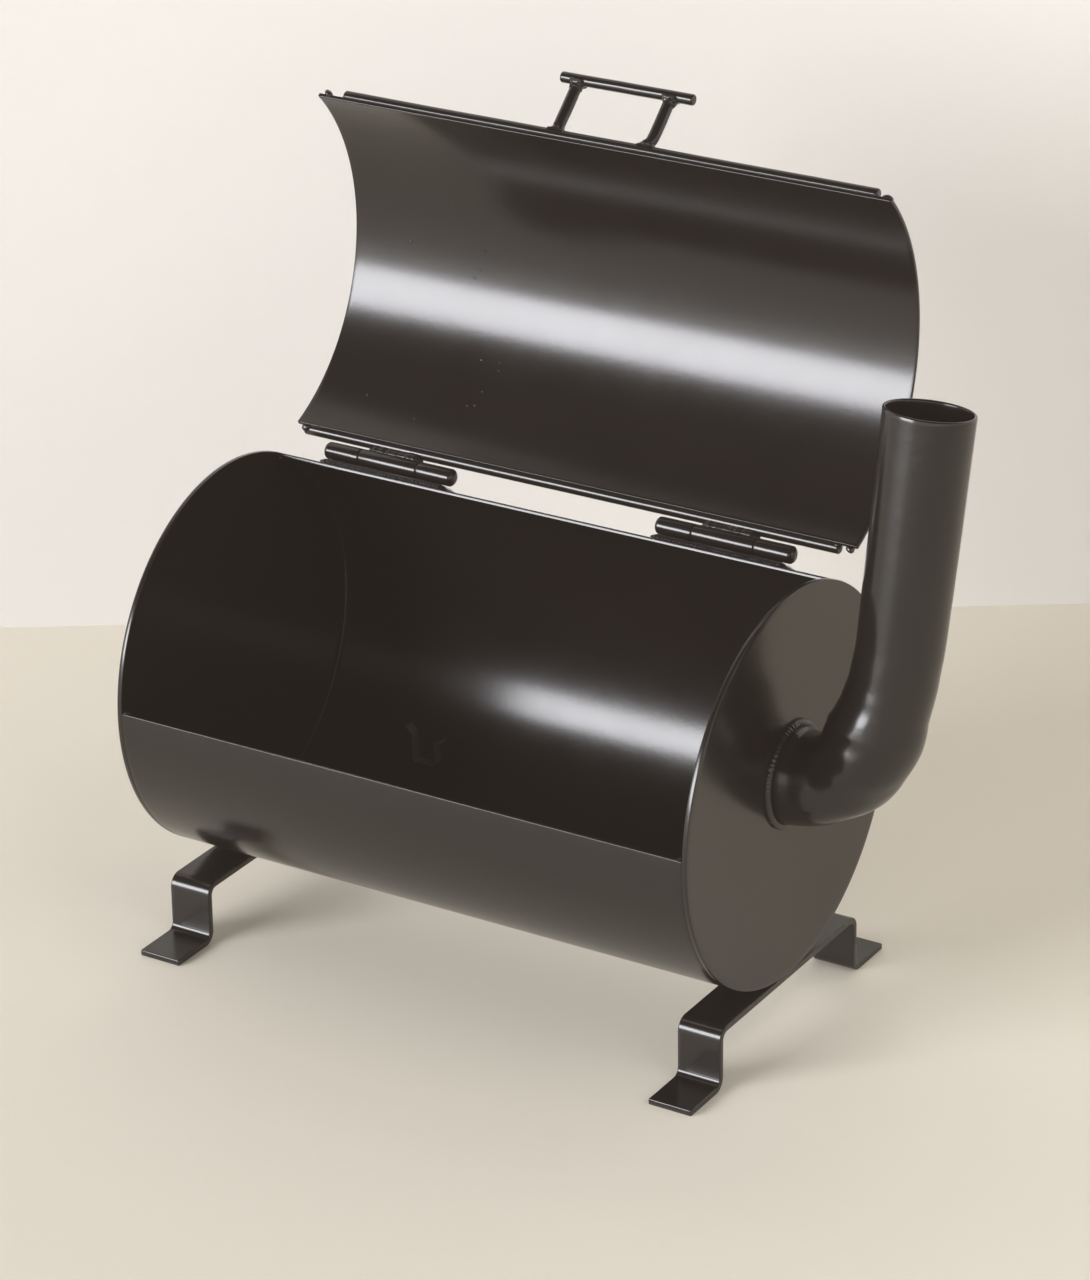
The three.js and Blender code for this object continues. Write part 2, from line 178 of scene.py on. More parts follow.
class SmokerHingeSizes(bpy.types.PropertyGroup):
    """The weld-on bullet hinges."""

    place: angle("Place", "Where the hinges sit round the drum", 57.9)
    spread: length("Spread", "Between the middles of the two hinges", 150 * MM)
    shift: length("Shift", "How far both hinges sit away from the chimney", 3.3 * MM)
    radius: length("Knuckle radius", "Radius of every knuckle", 3.5 * MM)
    end: length("End knuckle", "Length of an end knuckle with its nose", 16.5 * MM)
    middle: length("Middle knuckle", "Length of the middle knuckle", 26.5 * MM)
    nose: length("Nose", "Length of the rounded nose", 2.2 * MM)
    pin: length("Pin radius", "Radius of the hinge pin", 1.5 * MM)
    pin_grip: length("Pin grip", "How deep the pin sits in an end knuckle", 12 * MM)
    leaf: length("Leaf thickness", "Seat plate between hinge and drum", 1.4 * MM)
    leaf_width: length("Leaf width", "Width of the seat plate", 8 * MM)


class SmokerChimneySizes(bpy.types.PropertyGroup):
    """The bent tube and the weld round its root."""

    radius: length("Radius", "Outside radius of the tube", 17.3 * MM)
    wall: length("Wall", "Wall thickness", 1.3 * MM)
    rise: length("Rise", "Root centre above the drum axis", 2.0 * MM)
    stub: length("Stub", "Straight run before the bend", 3.0 * MM)
    bend: length("Bend radius", "Bend radius on the centre line", 33.4 * MM)
    stack: length("Stack", "Straight run above the bend", 115.9 * MM)
    lean_back: angle("Lean back", "How far the stack leans to the rear", 10.3)
    lean_out: angle("Lean out", "How far the stack leans away from the drum", 1.7)
    collar: length("Collar weld", "Width of the weld round the root", 3.4 * MM)
    dent: length("Hammer marks", "Depth of the hammer marks on the elbow", 0.8 * MM)


class SmokerFootSizes(bpy.types.PropertyGroup):
    """Flat bar bent into feet."""

    width: length("Width", "Width of the flat bar", 18.2 * MM)
    thickness: length("Thickness", "Thickness of the flat bar", 2.5 * MM)
    inset: length("Inset", "Foot centre line in from the end of the drum", 10.3 * MM)
    shift: length("Shift", "How far both feet sit towards the chimney", 0.7 * MM)
    span: length("Span", "From leg to leg, over the outside faces", 107 * MM)
    pad: length("Pad", "How far a pad reaches beyond its leg", 21.5 * MM)
    height: length("Height", "Ground to the top of the bar", 25.4 * MM)
    bend: length("Bend radius", "Bend radius on the bar's centre line", 4 * MM)
    set_back: length("Set back", "Middle of the feet behind the drum axis", 1.5 * MM)
    edge: length("Edge", "Rounding of the bar's corners", 0.45 * MM)
    weld: length("Weld length", "Length of the weld under the drum", 26 * MM)


class SmokerHandleSizes(bpy.types.PropertyGroup):
    """The welded rod handle."""

    radius: length("Rod radius", "Radius of bar and posts", 2.3 * MM)
    bar: length("Bar", "Length of the grip bar", 58 * MM)
    reach: length("Reach", "From the lid's rod to the grip bar", 24.8 * MM)
    offset: length("Offset", "How far the handle sits left of the lid's middle", 1.4 * MM)
    spread: length("Post spread", "Between the heads of the two posts", 40.5 * MM)
    shift: length("Bar shift", "Bar centre right of the middle of the posts", 1.0 * MM)
    kink: length("Kink height", "Where the right post is bent above its foot", 3.4 * MM)
    kink_shift: length("Kink shift", "How far the right post's foot stands inwards", 1.3 * MM)


class SmokerClipSizes(bpy.types.PropertyGroup):
    """The small spring clip on the drum floor."""

    x: FloatProperty(
        name="Place", description="Along the drum axis", default=-67 * MM, unit="LENGTH"
    )
    turn: angle("Turn", "Where the clip sits round the drum", -51.3)
    strip: length("Strip", "Thickness of the strip", 0.8 * MM)
    depth: length("Depth", "Width of the strip", 4 * MM)
    mouth: length("Mouth", "Between the centre lines of its legs", 10.5 * MM)
    left_leg: length("Left leg", "Height of the left leg", 15 * MM)
    right_leg: length("Right leg", "Height of the right leg", 11.5 * MM)
    lip: length("Lip", "Sideways reach of each flared lip", 3 * MM)
    bend: length("Bend radius", "Bend radius of the strip", 1.3 * MM)


class SmokerFinish(bpy.types.PropertyGroup):
    """Paint and metal."""

    paint: colour("Paint", "Gloss powder coat", 0.0070, 0.0056, 0.0048)
    # Pale colour for dust specks and for paint wearing thin on edges; it also paints a highlight on
    # convex edges and on the whole clip.
    dust_wear_and_highlight: colour("Worn edge", "Paint rubbed thin on an edge", 0.045, 0.041, 0.038)
    weld: colour("Weld paint", "Powder coat over the weld beads", 0.0078, 0.0064, 0.0055)
    tube: colour("Chimney paint", "Powder coat over the hammered tube", 0.0066, 0.0054, 0.0047)
    steel: colour("Pin steel", "Bare hinge pins", 0.42, 0.41, 0.40)
    roughness: share("Paint roughness", "How dull the gloss coat is", 0.20)
    peel: share("Orange peel", "Depth of the paint's orange peel", 1.0, 5.0)


class SmokerStage(bpy.types.PropertyGroup):
    """Table, wall, light and camera."""

    table: colour("Table", "Pale cream table top", 0.84, 0.785, 0.67)
    wall: colour("Wall", "Off-white wall", 0.67, 0.648, 0.615)
    ceiling: share("Ceiling", "Brightness of the dim room overhead", 0.05, 10.0)
    room: share("Room", "Brightness of the room at the height of the table", 1.75, 10.0)
    window: share("Window light", "Brightness of the large soft light", 21.0, 100.0)
    fill: share("Fill light", "Brightness of the weak light from the right", 1.7, 100.0)
    lens: share("Lens", "Focal length in millimetres", 134.78, 1000.0)


class SmokerSettings(bpy.types.PropertyGroup):
    """Everything about the smoker that a user may change."""

    drum: PointerProperty(type=SmokerDrumSizes)
    lid: PointerProperty(type=SmokerLidSizes)
    hinge: PointerProperty(type=SmokerHingeSizes)
    chimney: PointerProperty(type=SmokerChimneySizes)
    foot: PointerProperty(type=SmokerFootSizes)
    handle: PointerProperty(type=SmokerHandleSizes)
    clip: PointerProperty(type=SmokerClipSizes)
    finish: PointerProperty(type=SmokerFinish)
    stage: PointerProperty(type=SmokerStage)


def settings():
    """The smoker's settings in this file."""
    return bpy.context.scene.smoker


# ------------------------------------------------------------------ nodes


def math_node(operation, swapped=False):
    """A method that adds a Math node to a signal and another value."""

    def method(self, other=0.0):
        first, second = (other, self) if swapped else (self, other)
        return self.book.add("ShaderNodeMath", {"operation": operation}, {0: first, 1: second})

    return method


class Signal:
    """A node's output. Sums on it add their Math nodes."""

    def __init__(self, book, socket):
        self.book = book
        self.socket = socket

    __add__, __radd__ = math_node("ADD"), math_node("ADD", swapped=True)
    __sub__, __rsub__ = math_node("SUBTRACT"), math_node("SUBTRACT", swapped=True)
    __mul__, __rmul__ = math_node("MULTIPLY"), math_node("MULTIPLY", swapped=True)
    __truediv__, __rtruediv__ = math_node("DIVIDE"), math_node("DIVIDE", swapped=True)
    __pow__, __abs__ = math_node("POWER"), math_node("ABSOLUTE")
    smaller, larger = math_node("MINIMUM"), math_node("MAXIMUM")
    sine, cosine = math_node("SINE"), math_node("COSINE")

    def rise(self, low, high):
        """Zero below low, one above high and smooth between."""
        return self.book.add(
            "ShaderNodeMapRange",
            {"interpolation_type": "SMOOTHSTEP"},
            {"Value": self, "From Min": low, "From Max": high},
        )


class NodeBook:
    """Adds nodes to one tree."""

    def __init__(self, tree):
        self.tree = tree

    def add(self, kind, choices=None, values=None, output=0):
        """A node of a kind, with its choices set first and then its sockets."""
        node = self.tree.nodes.new(kind)
        for name, value in (choices or {}).items():
            setattr(node, name, value)
        for key, value in (values or {}).items():
            if isinstance(value, Signal):
                self.tree.links.new(value.socket, node.inputs[key])
            else:
                node.inputs[key].default_value = value
        return Signal(self, node.outputs[output]) if node.outputs else None

    def mix(self, factor, first, second):
        """Two colours mixed by a factor."""
        return self.add(
            "ShaderNodeMix", {"data_type": "RGBA"}, {0: factor, 6: first, 7: second}, output=2
        )

    def grain(self, place, scale, detail=2.0, roughness=0.5, seed=0.0):
        """Noise of about one over scale metres."""
        return self.add(
            "ShaderNodeTexNoise",
            {"noise_dimensions": "4D"},
            {
                "Vector": place,
                "W": seed,
                "Scale": scale,
                "Detail": detail,
                "Roughness": roughness,
            },
        )

    def bump(self, height):
        """The normals of a surface raised by a height in metres."""
        return self.add(
            "ShaderNodeBump", {}, {"Height": height, "Strength": 1.0, "Distance": 1.0}, "Normal"
        )


# ------------------------------------------------------------------ finishes

BLACK_IOR = 1.45
PEEL_HEIGHT = 0.019 * MM
STEEL_MARKS = 0.02 * MM
WALL_GRAIN = 0.1 * MM


def opaque(tint):
    """A colour with its alpha."""
    return (*tint, 1.0)


def shades(tint, darker, paler):
    """A darker and a paler shade of a colour, neither past white."""
    return [opaque(min(c * by, 1.0) for c in tint) for by in (darker, paler)]


def bare_material(name):
    """A new material without nodes, the book that adds them, and the place on the piece."""
    material = bpy.data.materials.new(name)
    material.use_nodes = True
    material.node_tree.nodes.clear()
    book = NodeBook(material.node_tree)
    return material, book, book.add("ShaderNodeTexCoord", output="Object")


def powder_coat(name, tint, roughness, lumps=0.0, lump_size=1.0):
    """Black powder coat: mottled, with orange peel, dust specks, and convex edges painted paler,
    partly as paint wearing thin and partly as a painted highlight.
    """
    finish = settings().finish
    material, book, place = bare_material(name)

    mottle = book.grain(place, 22, detail=4, roughness=0.6, seed=1.7)
    smudge = book.grain(place, 60, detail=3, roughness=0.55, seed=4.1)
    tone = book.mix(mottle.rise(0.25, 0.8), *shades(tint, 0.86, 1.16))
    specks = book.grain(place, 1500, detail=1, seed=2.3).rise(0.74, 0.8)
    dusty = book.mix(specks * 0.25, tone, opaque(finish.dust_wear_and_highlight))
    # Convex edges painted paler: partly paint wearing thin, partly a painted highlight for the
    # bright line on rounded rims.
    edge = book.add("ShaderNodeNewGeometry", output="Pointiness")
    edge_wear_and_highlight = edge.rise(0.55, 0.64) * smudge.rise(0.3, 0.65)
    shade = book.mix(edge_wear_and_highlight * 0.45, dusty, opaque(finish.dust_wear_and_highlight))

    peel_wide = book.grain(place, 520, detail=1.5, roughness=0.5, seed=3.3)
    peel_fine = book.grain(place, 1700, detail=2, roughness=0.6, seed=5.9)
    peel_height = peel_wide * 0.72 + peel_fine * 0.28
    height = peel_height * (PEEL_HEIGHT * finish.peel)
    if lumps:
        height = height + book.grain(place, lump_size, detail=2, seed=7.2) * lumps
    dull = (smudge - 0.5) * 0.06 + (mottle - 0.5) * 0.04 + edge_wear_and_highlight * 0.10 + roughness
    shader = book.add(
        "ShaderNodeBsdfPrincipled",
        {},
        {
            "Base Color": shade,
            "Roughness": dull,
            "IOR": BLACK_IOR,
            "Normal": book.bump(height),
        },
    )
    book.add("ShaderNodeOutputMaterial", {}, {"Surface": shader})
    return material


def drawn_steel(name, tint):
    """Bare drawn steel with fine marks round the pin and a darker film in places."""
    material, book, place = bare_material(name)
    along = book.add("ShaderNodeMapping", {}, {"Vector": place, "Scale": (6.0, 1.0, 1.0)})
    rings = book.grain(along, 900, detail=3, roughness=0.6, seed=2.0)
    film = book.grain(place, 180, detail=3, seed=6.0).rise(0.4, 0.7)
    shader = book.add("ShaderNodeBsdfPrincipled", {}, {
        "Base Color": book.mix(film * 0.6, *shades(tint, 1.0, 0.35)),
        "Metallic": 0.95,
        "Roughness": 0.34 + film * 0.2,
        "Normal": book.bump(rings * STEEL_MARKS),
    })
    book.add("ShaderNodeOutputMaterial", {}, {"Surface": shader})
    return material


def pale_matt(name, tint, uneven, painted_light_along_x, from_behind=False):
    """Matt paint for table and wall, paler towards +X as painted light that evens out the light
    falling off across them. A wall seen from behind lets the view through.
    """
    material, book, place = bare_material(name)
    cloud = book.grain(place, 3, detail=4, roughness=0.6, seed=1.0)
    fine = book.grain(place, 90, detail=3, roughness=0.7, seed=2.0)
    x = book.add("ShaderNodeSeparateXYZ", {}, {"Vector": place}, output="X")
    # The x term is painted light: paler towards +X, where less lamp light reaches.
    level = (cloud - 0.5) * uneven + (fine - 0.5) * (uneven * 0.5) + x * painted_light_along_x + 0.5
    shader = book.add("ShaderNodeBsdfPrincipled", {}, {
        "Base Color": book.mix(level, *shades(tint, 0.8, 1.2)),
        "Roughness": 0.7,
        "Normal": book.bump(fine * WALL_GRAIN),
    })
    if from_behind:
        back = book.add("ShaderNodeNewGeometry", output="Backfacing")
        clear = book.add("ShaderNodeBsdfTransparent")
        shader = book.add("ShaderNodeMixShader", {}, {0: back, 1: shader, 2: clear})
    book.add("ShaderNodeOutputMaterial", {}, {"Surface": shader})
    return material


def finish_of(slot):
    """The material of a slot or of the clip painted pale as a painted highlight, made when it is
    first asked for.
    """
    name = "detailed_" + slot
    if name in bpy.data.materials:
        return bpy.data.materials[name]
    look = settings().finish
    if slot == "pin_steel":
        return drawn_steel(name, look.steel)
    coats = {
        "gloss_black": (look.paint, look.roughness),
        "weld_black": (look.weld, look.roughness + 0.05, 0.22 * MM, 420),
        "chimney_black": (look.tube, look.roughness - 0.02, 0.12 * MM, 105),
        # The clip gets the pale edge colour all over: a painted highlight that makes it show as a
        # bright line.
        "clip_worn": (look.dust_wear_and_highlight, look.roughness),
    }
    return powder_coat(name, *coats[slot])


# ------------------------------------------------------------------ meshes


def loft(stations, closed=False):
    """Faces between stations in order. A station is a ring of points, or one point for a pole."""
    points, faces, spans = [], [], []
    for station in stations:
        spans.append((len(points), len(station)))
        points.extend(tuple(p) for p in station)
    pairs = list(zip(spans, spans[1:]))
    if closed:
        pairs.append((spans[-1], spans[0]))
    for (first, count), (second, following) in pairs:
        for k in range(max(count, following)):
            after = (k + 1) % max(count, following)
            if count == 1:
                faces.append((first, second + after, second + k))
            elif following == 1:
                faces.append((first + k, first + after, second))
            else:
                faces.append((first + k, first + after, second + after, second + k))
    return points, faces


def solid(name, points, faces, place, sharp=35):
    """A closed mesh with its faces turned outwards, moved to its place."""
    mesh = bpy.data.meshes.new(name)
    mesh.from_pydata([tuple(p) for p in points], [], faces)
    shape = bmesh.new()
    shape.from_mesh(mesh)
    bmesh.ops.remove_doubles(shape, verts=shape.verts, dist=0.001 * MM)
    bmesh.ops.recalc_face_normals(shape, faces=shape.faces)
    shape.to_mesh(mesh)
    shape.free()
    mesh.transform(place)
    mesh.polygons.foreach_set("use_smooth", [True] * len(mesh.polygons))
    mesh.set_sharp_from_angle(angle=math.radians(sharp))
    mesh.update()
    return mesh


def moved(shape, place):
    """Points and faces with a matrix applied to the points."""
    points, faces = shape
    return [place @ Vector(p) for p in points], faces


def roughened(shape, depth, size, seed):
    """Points pushed about by smooth noise, as weld metal and drawn rod are."""
    noise.seed_set(NOISE_SEED)
    points, faces = shape
    shifted = []
    for point in points:
        p = Vector(point)
        push = noise.noise_vector(p / size + Vector((seed, 0, 0)))
        shifted.append(p + push * depth)
    return shifted, faces


def piece(name, mesh, body, slot, *stands_for, bevel=0.0, wall=0.0):
    """Shows a mesh as a piece of a body and says which frame nodes it stands for."""
    thing = bpy.data.objects.new(name, mesh)
    bpy.context.scene.collection.objects.link(thing)
    if not mesh.materials:
        mesh.materials.append(finish_of(slot))
    if wall:
        shell = thing.modifiers.new("wall", "SOLIDIFY")
        shell.thickness = wall
        shell.offset = -1
        shell.use_even_offset = True
    if bevel:
        rounding = thing.modifiers.new("edge", "BEVEL")
        rounding.width = bevel
        rounding.segments = 3
        rounding.limit_method = "ANGLE"
        rounding.angle_limit = math.radians(40)
        rounding.harden_normals = False
    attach(thing, body)
    if stands_for:
        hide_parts(*stands_for)
    return thing


def circle(centre, radius, side, other, count):
    """A ring of points round a centre."""
    ring = []
    for k in range(count):
        turn = 2 * math.pi * k / count
        ring.append(centre + side * (radius * math.cos(turn)) + other * (radius * math.sin(turn)))
    return ring


def turned(profile, sides, closed=False):
    """A lathe shape along X from (radius, x) pairs. A radius of zero is a pole."""
    stations = []
    for radius, x in profile:
        centre = X_WAY * x
        if radius == 0:
            stations.append([centre])
        else:
            stations.append(circle(centre, radius, Y_WAY, Z_WAY, sides))
    return loft(stations, closed)


def round_end(radius, start, reach, steps):
    """The profile of a rounded end, from the full radius to a pole."""
    turns = [math.pi / 2 * k / steps for k in range(steps)]
    curve = [(radius * math.cos(turn), start + reach * math.sin(turn)) for turn in turns]
    return [*curve, (0.0, start + reach)]


def soft_corner(radius, soft, start, steps=4):
    """The profile of a rounded edge where a flat end at start meets a radius."""
    turns = [math.pi / 2 * k / steps for k in range(steps + 1)]
    return [
        (radius - soft + soft * math.sin(turn), start + soft - soft * math.cos(turn))
        for turn in turns
    ]


def rod(radius, size, sides=28, ring_gap=3.0 * MM):
    """A round rod along X with its ends cut and softly rounded."""
    soft = radius * 0.3
    half = size / 2
    rings = max(2, round((size - 2 * soft) / ring_gap))
    body = [(radius, -half + soft + (size - 2 * soft) * k / rings) for k in range(rings + 1)]
    face = []
    for k in range(1, 5):
        turn = math.pi / 2 * k / 4
        face.append((radius - soft + soft * math.cos(turn), half - soft + soft * math.sin(turn)))
    tail = [(r, -x) for r, x in reversed(face)]
    return turned([(0.0, -half), *tail, *body, *face, (0.0, half)], sides)


def bent_line(corners, radius, steps=8, straight_steps=1):
    """A line of (across, up) corners with every corner rounded: points and directions."""
    corners = [Vector(c) for c in corners]
    line = [(corners[0], (corners[1] - corners[0]).normalized())]
    for before, corner, after in zip(corners, corners[1:], corners[2:]):
        into = (corner - before).normalized()
        out = (after - corner).normalized()
        turn = math.atan2(into.x * out.y - into.y * out.x, into.dot(out))
        side = math.copysign(1, turn)
        start = corner - into * (radius * math.tan(abs(turn) / 2))
        centre = start + Vector((-into.y, into.x)) * (side * radius)
        last_point, last_way = line[-1]
        for k in range(1, straight_steps):
            line.append((last_point.lerp(start, k / straight_steps), last_way))
        for k in range(steps + 1):
            swing = Matrix.Rotation(turn * k / steps, 2)
            line.append((centre + swing @ (start - centre), swing @ into))
    line.append((corners[-1], (corners[-1] - corners[-2]).normalized()))
    return line


def strip(line, thickness, width, across, up, broad, rows=2):
    """Flat bar of a width along broad, following a bent line in the plane of across and up."""
    stations = []
    for point, way in line:
        centre = across * point.x + up * point.y
        normal = across * -way.y + up * way.x
        top = [
            centre + broad * (width * (k / rows - 0.5)) + normal * (thickness / 2)
            for k in range(rows + 1)
        ]
        under = [p - normal * thickness for p in reversed(top)]
        stations.append(top + under)
    points, faces = loft(stations)
    count = 2 * (rows + 1)
    faces.append(tuple(range(count)))
    faces.append(tuple(len(points) - count + k for k in range(count)))
    return points, faces


def plate(radius, thickness, edge, warp, seed, hole=None, sides=160, rings=26):
    """A round plate across X with rounded rims, slightly out of flat. hole is (offset, radius)."""
    hole_centre, hole_radius = hole if hole else (Vector(), 0.0)

    def bulge(point):
        return warp * noise.noise(Vector((seed, point.y / (55 * MM), point.z / (55 * MM))))

    def ring(part, size, x):
        centre = hole_centre.lerp(Vector(), part)
        points = circle(centre, size, Y_WAY, Z_WAY, sides)
        return [p + X_WAY * (x + bulge(p)) for p in points]

    half = thickness / 2
    flat = radius - edge
    inner = [k / rings for k in range(0 if hole else 1, rings + 1)]
    front = [ring(t, hole_radius + (flat - hole_radius) * t, half) for t in inner]
    rim = []
    for k in range(1, 8):
        turn = math.pi * k / 8
        core = half - edge if turn <= math.pi / 2 else edge - half
        rim.append(ring(1, flat + edge * math.sin(turn), core + edge * math.cos(turn)))
    back = [ring(t, hole_radius + (flat - hole_radius) * t, -half) for t in reversed(inner)]
    stations = front + rim + back
    if hole:
        return loft(stations, closed=True)
    pole = [X_WAY * (half + bulge(Vector()))]
    tail = [X_WAY * (-half + bulge(Vector()))]
    return loft([pole, *stations, tail])


# ------------------------------------------------------------------ geometry node trees


def new_tree(name, inputs):
    """A geometry tree with named inputs and the book that adds nodes to it."""
    tree = bpy.data.node_groups.new(name, "GeometryNodeTree")
    tree.interface.new_socket(name="Geometry", in_out="OUTPUT", socket_type="NodeSocketGeometry")
    tree.interface.new_socket(name="Geometry", in_out="INPUT", socket_type="NodeSocketGeometry")
    for label, kind in inputs.items():
        tree.interface.new_socket(name=label, in_out="INPUT", socket_type="NodeSocket" + kind)
    book = NodeBook(tree)
    entry = tree.nodes.new("NodeGroupInput")
    given = {socket.name: Signal(book, socket) for socket in entry.outputs if socket.name}
    return book, given


def close_tree(book, geometry, material):
    """Ends a tree: real geometry, smooth faces, its material."""
    real = book.add("GeometryNodeRealizeInstances", {}, {"Geometry": geometry})
    smooth = book.add("GeometryNodeSetShadeSmooth", {}, {"Geometry": real})
    painted = book.add("GeometryNodeSetMaterial", {}, {"Geometry": smooth, "Material": material})
    book.add("NodeGroupOutput", {}, {"Geometry": painted})
    return book.tree


def rolled_sheet_tree():
    """A sheet rolled round the drum axis between two angles, slightly wavy as real sheet is."""
    book, given = new_tree("rolled_sheet", {
        "Length": "Float", "Radius": "Float", "Start": "Float", "End": "Float",
        "Steps Along": "Int", "Steps Round": "Int", "Waviness": "Float", "Seed": "Float",
        "Material": "Material",
    })
    flat = book.add("GeometryNodeMeshGrid", {}, {
        "Size X": 1.0, "Size Y": 1.0,
        "Vertices X": given["Steps Along"], "Vertices Y": given["Steps Round"],
    })
    parts = book.add("ShaderNodeSeparateXYZ", {}, {"Vector": book.add("GeometryNodeInputPosition")})
    across = Signal(book, parts.socket.node.outputs["Y"])
    x = parts * given["Length"]
    turn = (across + 0.5) * (given["End"] - given["Start"]) + given["Start"]
    plan = book.add("ShaderNodeCombineXYZ", {}, {"X": x * 9.0, "Y": turn * 1.1, "Z": 0.0})
    wave = book.grain(plan, 1.6, detail=1.5, seed=given["Seed"])
    radius = given["Radius"] - wave * given["Waviness"]
    spot = book.add(
        "ShaderNodeCombineXYZ", {}, {"X": x, "Y": radius * turn.cosine(), "Z": radius * turn.sine()}
    )
    rolled = book.add("GeometryNodeSetPosition", {}, {"Geometry": flat, "Position": spot})
    facing_out = book.add("GeometryNodeFlipFaces", {}, {"Mesh": rolled})
    return close_tree(book, facing_out, given["Material"])


def weld_bead_tree():
    """A rippled, slightly lumpy weld bead that follows the edges of the mesh it is given."""
    book, given = new_tree("weld_bead", {
        "Width": "Float", "Pitch": "Float", "Ripple": "Float", "Lumps": "Float",
        "Seed": "Float", "Closed": "Float", "Material": "Material",
    })
    line = book.add("GeometryNodeMeshToCurve", {}, {"Mesh": given["Geometry"]})
    fine = book.add("GeometryNodeResampleCurve", {"mode": "LENGTH"}, {
        "Curve": line, "Length": given["Pitch"] / 6.0,
    })
    here = book.add("GeometryNodeSplineParameter", output="Length")
    whole = book.add("GeometryNodeSplineLength", output="Length")
    spot = book.add("GeometryNodeInputPosition")
    uneven = book.grain(spot, 1.0 / (1.8 * MM), detail=1.0, seed=given["Seed"])
    slow = book.grain(spot, 1.0 / (9.0 * MM), detail=1.0, seed=given["Seed"])
    ripple = abs((here / given["Pitch"] * math.pi + uneven * 2.5).sine())
    swell = (slow - 0.5) * given["Lumps"] * 2.0 + (uneven - 0.5) * given["Lumps"]
    to_end = here.smaller(whole - here) / (given["Width"] * 0.7)
    taper = (to_end.larger(0.02).smaller(1.0) ** 0.5).larger(given["Closed"])
    radius = given["Width"] * 0.5 * (1.0 - given["Ripple"] * (1.0 - ripple) + swell) * taper
    section = book.add("GeometryNodeCurvePrimitiveCircle", {}, {"Resolution": 14, "Radius": 1.0})
    bead = book.add("GeometryNodeCurveToMesh", {}, {
        "Curve": fine, "Profile Curve": section, "Scale": radius.larger(0.02 * MM),
        "Fill Caps": True,
    })
    return close_tree(book, bead, given["Material"])


def weld_dab_tree():
    """A lump of weld metal at every point it is given."""
    book, given = new_tree("weld_dabs", {
        "Size": "Float", "Unevenness": "Float", "Seed": "Int", "Material": "Material",
    })
    ball = book.add("GeometryNodeMeshIcoSphere", {}, {"Radius": given["Size"], "Subdivisions": 4})
    turn = book.add("FunctionNodeRandomValue", {"data_type": "FLOAT_VECTOR"}, {
        0: (0.0, 0.0, 0.0), 1: (6.28, 6.28, 6.28), "Seed": given["Seed"],
    })
    swell = book.add("FunctionNodeRandomValue", {"data_type": "FLOAT_VECTOR"}, {
        0: (0.7, 0.7, 0.7), 1: (1.25, 1.25, 1.25), "Seed": given["Seed"],
    })
    spread = book.add("GeometryNodeInstanceOnPoints", {}, {
        "Points": given["Geometry"], "Instance": ball, "Rotation": turn, "Scale": swell,
    })
    real = book.add("GeometryNodeRealizeInstances", {}, {"Geometry": spread})
    spot = book.add("GeometryNodeInputPosition")
    bump = book.grain(spot, 1.0 / (1.4 * MM), detail=1.0) - 0.5
    normal = book.add("GeometryNodeInputNormal")
    push = book.add("ShaderNodeVectorMath", {"operation": "SCALE"}, {
        0: normal, "Scale": bump * given["Unevenness"] * given["Size"],
    })
    lumpy = book.add("GeometryNodeSetPosition", {}, {"Geometry": real, "Offset": push})
    return close_tree(book, lumpy, given["Material"])


def paint_nib_tree():
    """Grains caught under the paint, scattered over the surface it is given, denser at one end."""
    book, given = new_tree("paint_nibs", {
        "Count": "Int", "Size": "Float", "Seed": "Int", "Half Length": "Float",
        "Material": "Material",
    })
    scatter = book.add("GeometryNodeDistributePointsOnFaces", {}, {
        "Mesh": given["Geometry"], "Density": 40000.0, "Seed": given["Seed"],
    })
    tilt = Signal(book, scatter.socket.node.outputs["Rotation"])
    parts = book.add("ShaderNodeSeparateXYZ", {}, {"Vector": book.add("GeometryNodeInputPosition")})
    along = (parts / given["Half Length"] * 0.5 + 0.5) ** 1.6
    chance = book.add(
        "FunctionNodeRandomValue", {"data_type": "FLOAT"}, {"Seed": given["Seed"]}, output=1
    )
    order = book.add("GeometryNodeInputIndex")
    unlucky = book.add("FunctionNodeCompare", {"data_type": "FLOAT", "operation": "LESS_THAN"}, {
        0: along, 1: chance,
    })
    likely = book.add("GeometryNodeDeleteGeometry", {"domain": "POINT"}, {
        "Geometry": scatter, "Selection": unlucky,
    })
    surplus = book.add("FunctionNodeCompare", {"data_type": "INT", "operation": "GREATER_EQUAL"}, {
        2: order, 3: given["Count"],
    })
    few = book.add("GeometryNodeDeleteGeometry", {"domain": "POINT"}, {
        "Geometry": likely, "Selection": surplus,
    })
    grain = book.add("GeometryNodeMeshIcoSphere", {}, {"Radius": given["Size"], "Subdivisions": 2})
    swell = book.add("FunctionNodeRandomValue", {"data_type": "FLOAT_VECTOR"}, {
        0: (0.35, 0.35, 0.3), 1: (1.0, 1.0, 0.7), "Seed": given["Seed"],
    })
    spread = book.add("GeometryNodeInstanceOnPoints", {}, {
        "Points": few, "Instance": grain, "Rotation": tilt, "Scale": swell,
    })
    return close_tree(book, spread, given["Material"])


def tree_named(name):
    """A geometry tree, built when it is first asked for."""
    makers = {
        "rolled_sheet": rolled_sheet_tree,
        "weld_bead": weld_bead_tree,
        "weld_dabs": weld_dab_tree,
        "paint_nibs": paint_nib_tree,
    }
    return bpy.data.node_groups.get(name) or makers[name]()


